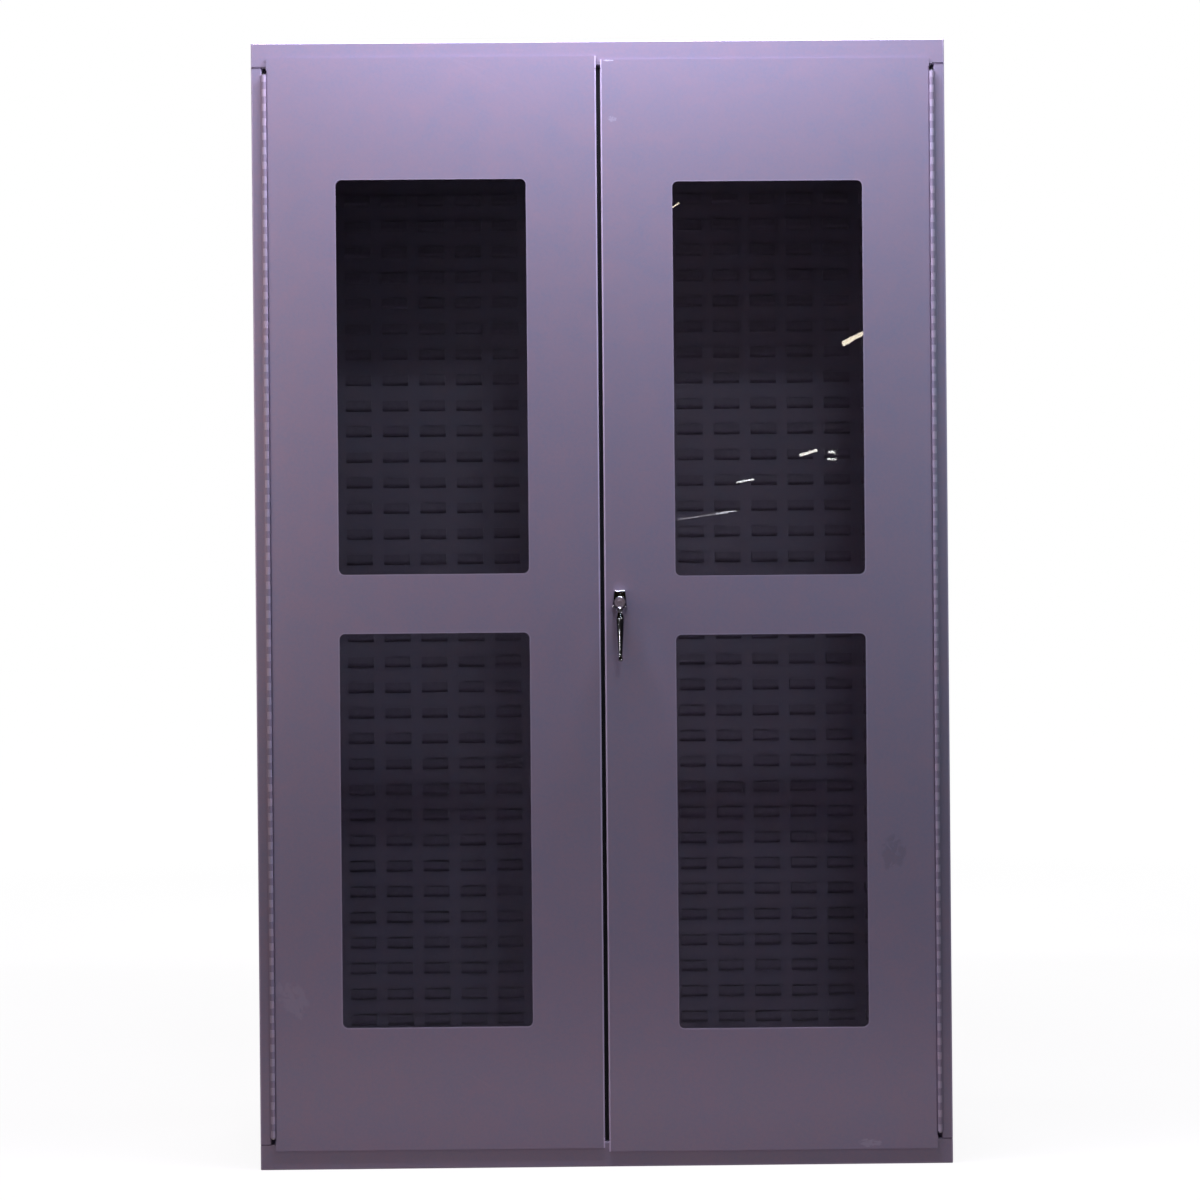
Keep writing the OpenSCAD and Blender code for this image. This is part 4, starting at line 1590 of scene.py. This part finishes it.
@dataclass
class Stage:
    """The pale floor, the white backdrop, the lamps and the camera."""

    eye: tuple[float, float, float] = (-0.0443, -4.8048, 1.0112)
    yaw: float = -0.508
    pitch: float = -0.171
    roll: float = 0.498
    lens: float = 76.75
    sensor: float = 36.0
    sight: float = 200.0
    lamps: tuple[Lamp, ...] = (
        Lamp(
            "front_lamp", (0.5, -4.2, 3.68), (0.0, -0.3, 1.0), (0.6, 0.3), 20.5,
            (0.78, 0.89, 0.98),
        ),
        Lamp(
            "top_wash", (0.0, -0.6, 2.9), (0.0, -0.3, 1.6), (1.6, 0.12), 80.0,
            (0.778, 0.76, 0.98),
        ),
        Lamp(
            "left_lamp", (-1.25, -0.75, 1.4), (-0.4, -0.3, 1.3), (0.3, 1.0), 3.7,
            (1.0, 0.80, 0.75), mirrored=False,
        ),
        Lamp(
            "far_left_lamp", (-2.45, -2.9, 1.2), (0.0, -0.3, 1.1), (0.4, 0.9), 4.0,
            (1.0, 0.80, 0.80), mirrored=False,
        ),
        Lamp(
            "right_lamp", (1.25, -0.75, 1.4), (0.4, -0.3, 1.3), (0.3, 1.0), 1.9,
            (0.65, 0.90, 1.0), mirrored=False,
        ),
        Lamp(
            "low_lamp", (0.0, -0.7, 0.05), (0.0, -0.3, 0.10), (2.2, 0.08), 0.72,
            (1.0, 0.78, 0.88),
        ),
        *(
            Lamp(
                f"{word}_side_lamp", (side * 3.2, 0.9, 1.9), (side * 0.6, 0.0, 1.0),
                (1.6, 1.6), 30.0, (0.90, 0.92, 1.0), mirrored=False,
            )
            for word, side in (("left", -1), ("right", 1))
        ),
        Lamp("back_lamp", (0.0, 3.6, 2.2), (0.0, 0.3, 1.0), (2.0, 1.5), 45.0, (0.90, 0.92, 1.0)),
        Lamp(
            "grip_strip", (-1.1, -3.3, 0.50), (0.03, -0.35, 0.94), (0.12, 0.07), 0.8,
            shines=False,
        ),
        *(
            Lamp(name, place, (0.03, -0.33, 1.0), (0.12, 0.12), 2.4, shines=False)
            for name, place in (
                ("left_spark", (-2.25, -3.1, 1.0)),
                ("right_spark", (2.3, -3.1, 1.0)),
            )
        ),
    )
    hall_y: float = -8.305
    glints: tuple[Glint, ...] = (
        Glint((0.452, 2.893), (0.045, 0.008), 35.0, (1.0, 0.86, 0.66)),
        Glint((1.314, 2.244), (0.118, 0.022), 24.0, (1.0, 0.88, 0.70)),
        Glint((1.092, 1.684), (0.090, 0.014), 15.0, (1.0, 0.95, 0.88)),
        Glint((1.207, 1.683), (0.034, 0.009), 0.0, (1.0, 1.0, 1.0)),
        Glint((1.207, 1.648), (0.040, 0.007), 0.0, (1.0, 1.0, 1.0)),
        Glint((0.785, 1.552), (0.082, 0.008), 8.0, (1.0, 1.0, 1.0)),
        Glint((0.690, 1.393), (0.100, 0.005), 8.0, (0.9, 0.9, 1.0), 12.0),
        Glint((0.545, 1.372), (0.190, 0.004), 8.0, (0.9, 0.85, 0.9), 5.0),
    )
    glow: float = 0.006
    glow_tint: Colour = (1.0, 0.86, 0.50)
    floor_size: float = 60.0

    def camera(self) -> None:
        """Puts the camera where the photograph was taken from."""
        turn = (
            Matrix.Rotation(math.radians(self.yaw), 3, "Z")
            @ Matrix.Rotation(math.radians(self.pitch), 3, "X")
            @ Matrix.Rotation(math.radians(self.roll), 3, "Y")
        )
        right, forward, up = (turn.col[k] for k in range(3))
        look = Matrix((right, up, -forward)).transposed()
        Bench.take()
        bpy.ops.object.camera_add(location=self.eye, rotation=look.to_euler())
        camera = bpy.context.object
        camera.name = "photo_camera"
        camera.data.lens, camera.data.sensor_width = self.lens, self.sensor
        camera.data.sensor_fit = "HORIZONTAL"
        camera.data.clip_end = self.sight
        bpy.context.scene.camera = camera

    def backdrop(self) -> None:
        """White behind the cabinet, and only a dim glow on everything else."""
        world = bpy.data.worlds.new("backdrop")
        bpy.context.scene.world = world
        world.use_nodes = True
        g = Graph(world.node_tree)
        seen = g.wire(world.node_tree.nodes["Background"], Color=WHITE)
        cast = g.add("ShaderNodeBackground")
        g.wire(cast, Color=self.glow_tint, Strength=self.glow)
        both = g.by_ray("Is Camera Ray", cast.outputs["Background"], seen.outputs["Background"])
        g.wire(world.node_tree.nodes["World Output"], Surface=both)

    def floor(self) -> None:
        """A wide pale floor."""
        Bench.take()
        bpy.ops.mesh.primitive_plane_add(size=self.floor_size, location=(0, 0, 0))
        floor = Bench.settle(Bench.named("studio_floor"))
        dress(floor, PaleFloor().material())

    def set_up(self) -> None:
        """Builds the whole stage."""
        self.camera()
        self.backdrop()
        self.floor()
        for lamp in self.lamps:
            lamp.hang()
        for number, glint in enumerate(self.glints, 1):
            glint.lamp(f"hall_lamp_{number}", self.hall_y).hang()
        bpy.context.scene.view_settings.view_transform = "Standard"
        log.info("stage set up with %d lamps", len(self.lamps))


def main() -> None:
    """Builds and dresses the cabinet and sets up the stage."""
    logging.basicConfig(level=logging.INFO, format="%(name)s: %(message)s")
    paints = Paints.mixed()
    for assembly in (
        Shell(paints),
        Door(Side.LEFT, paints),
        Door(Side.RIGHT, paints),
        LockSet(paints),
    ):
        assembly.dress()
        assembly.model()
    Stage().set_up()


if __name__ == "__main__":
    main()
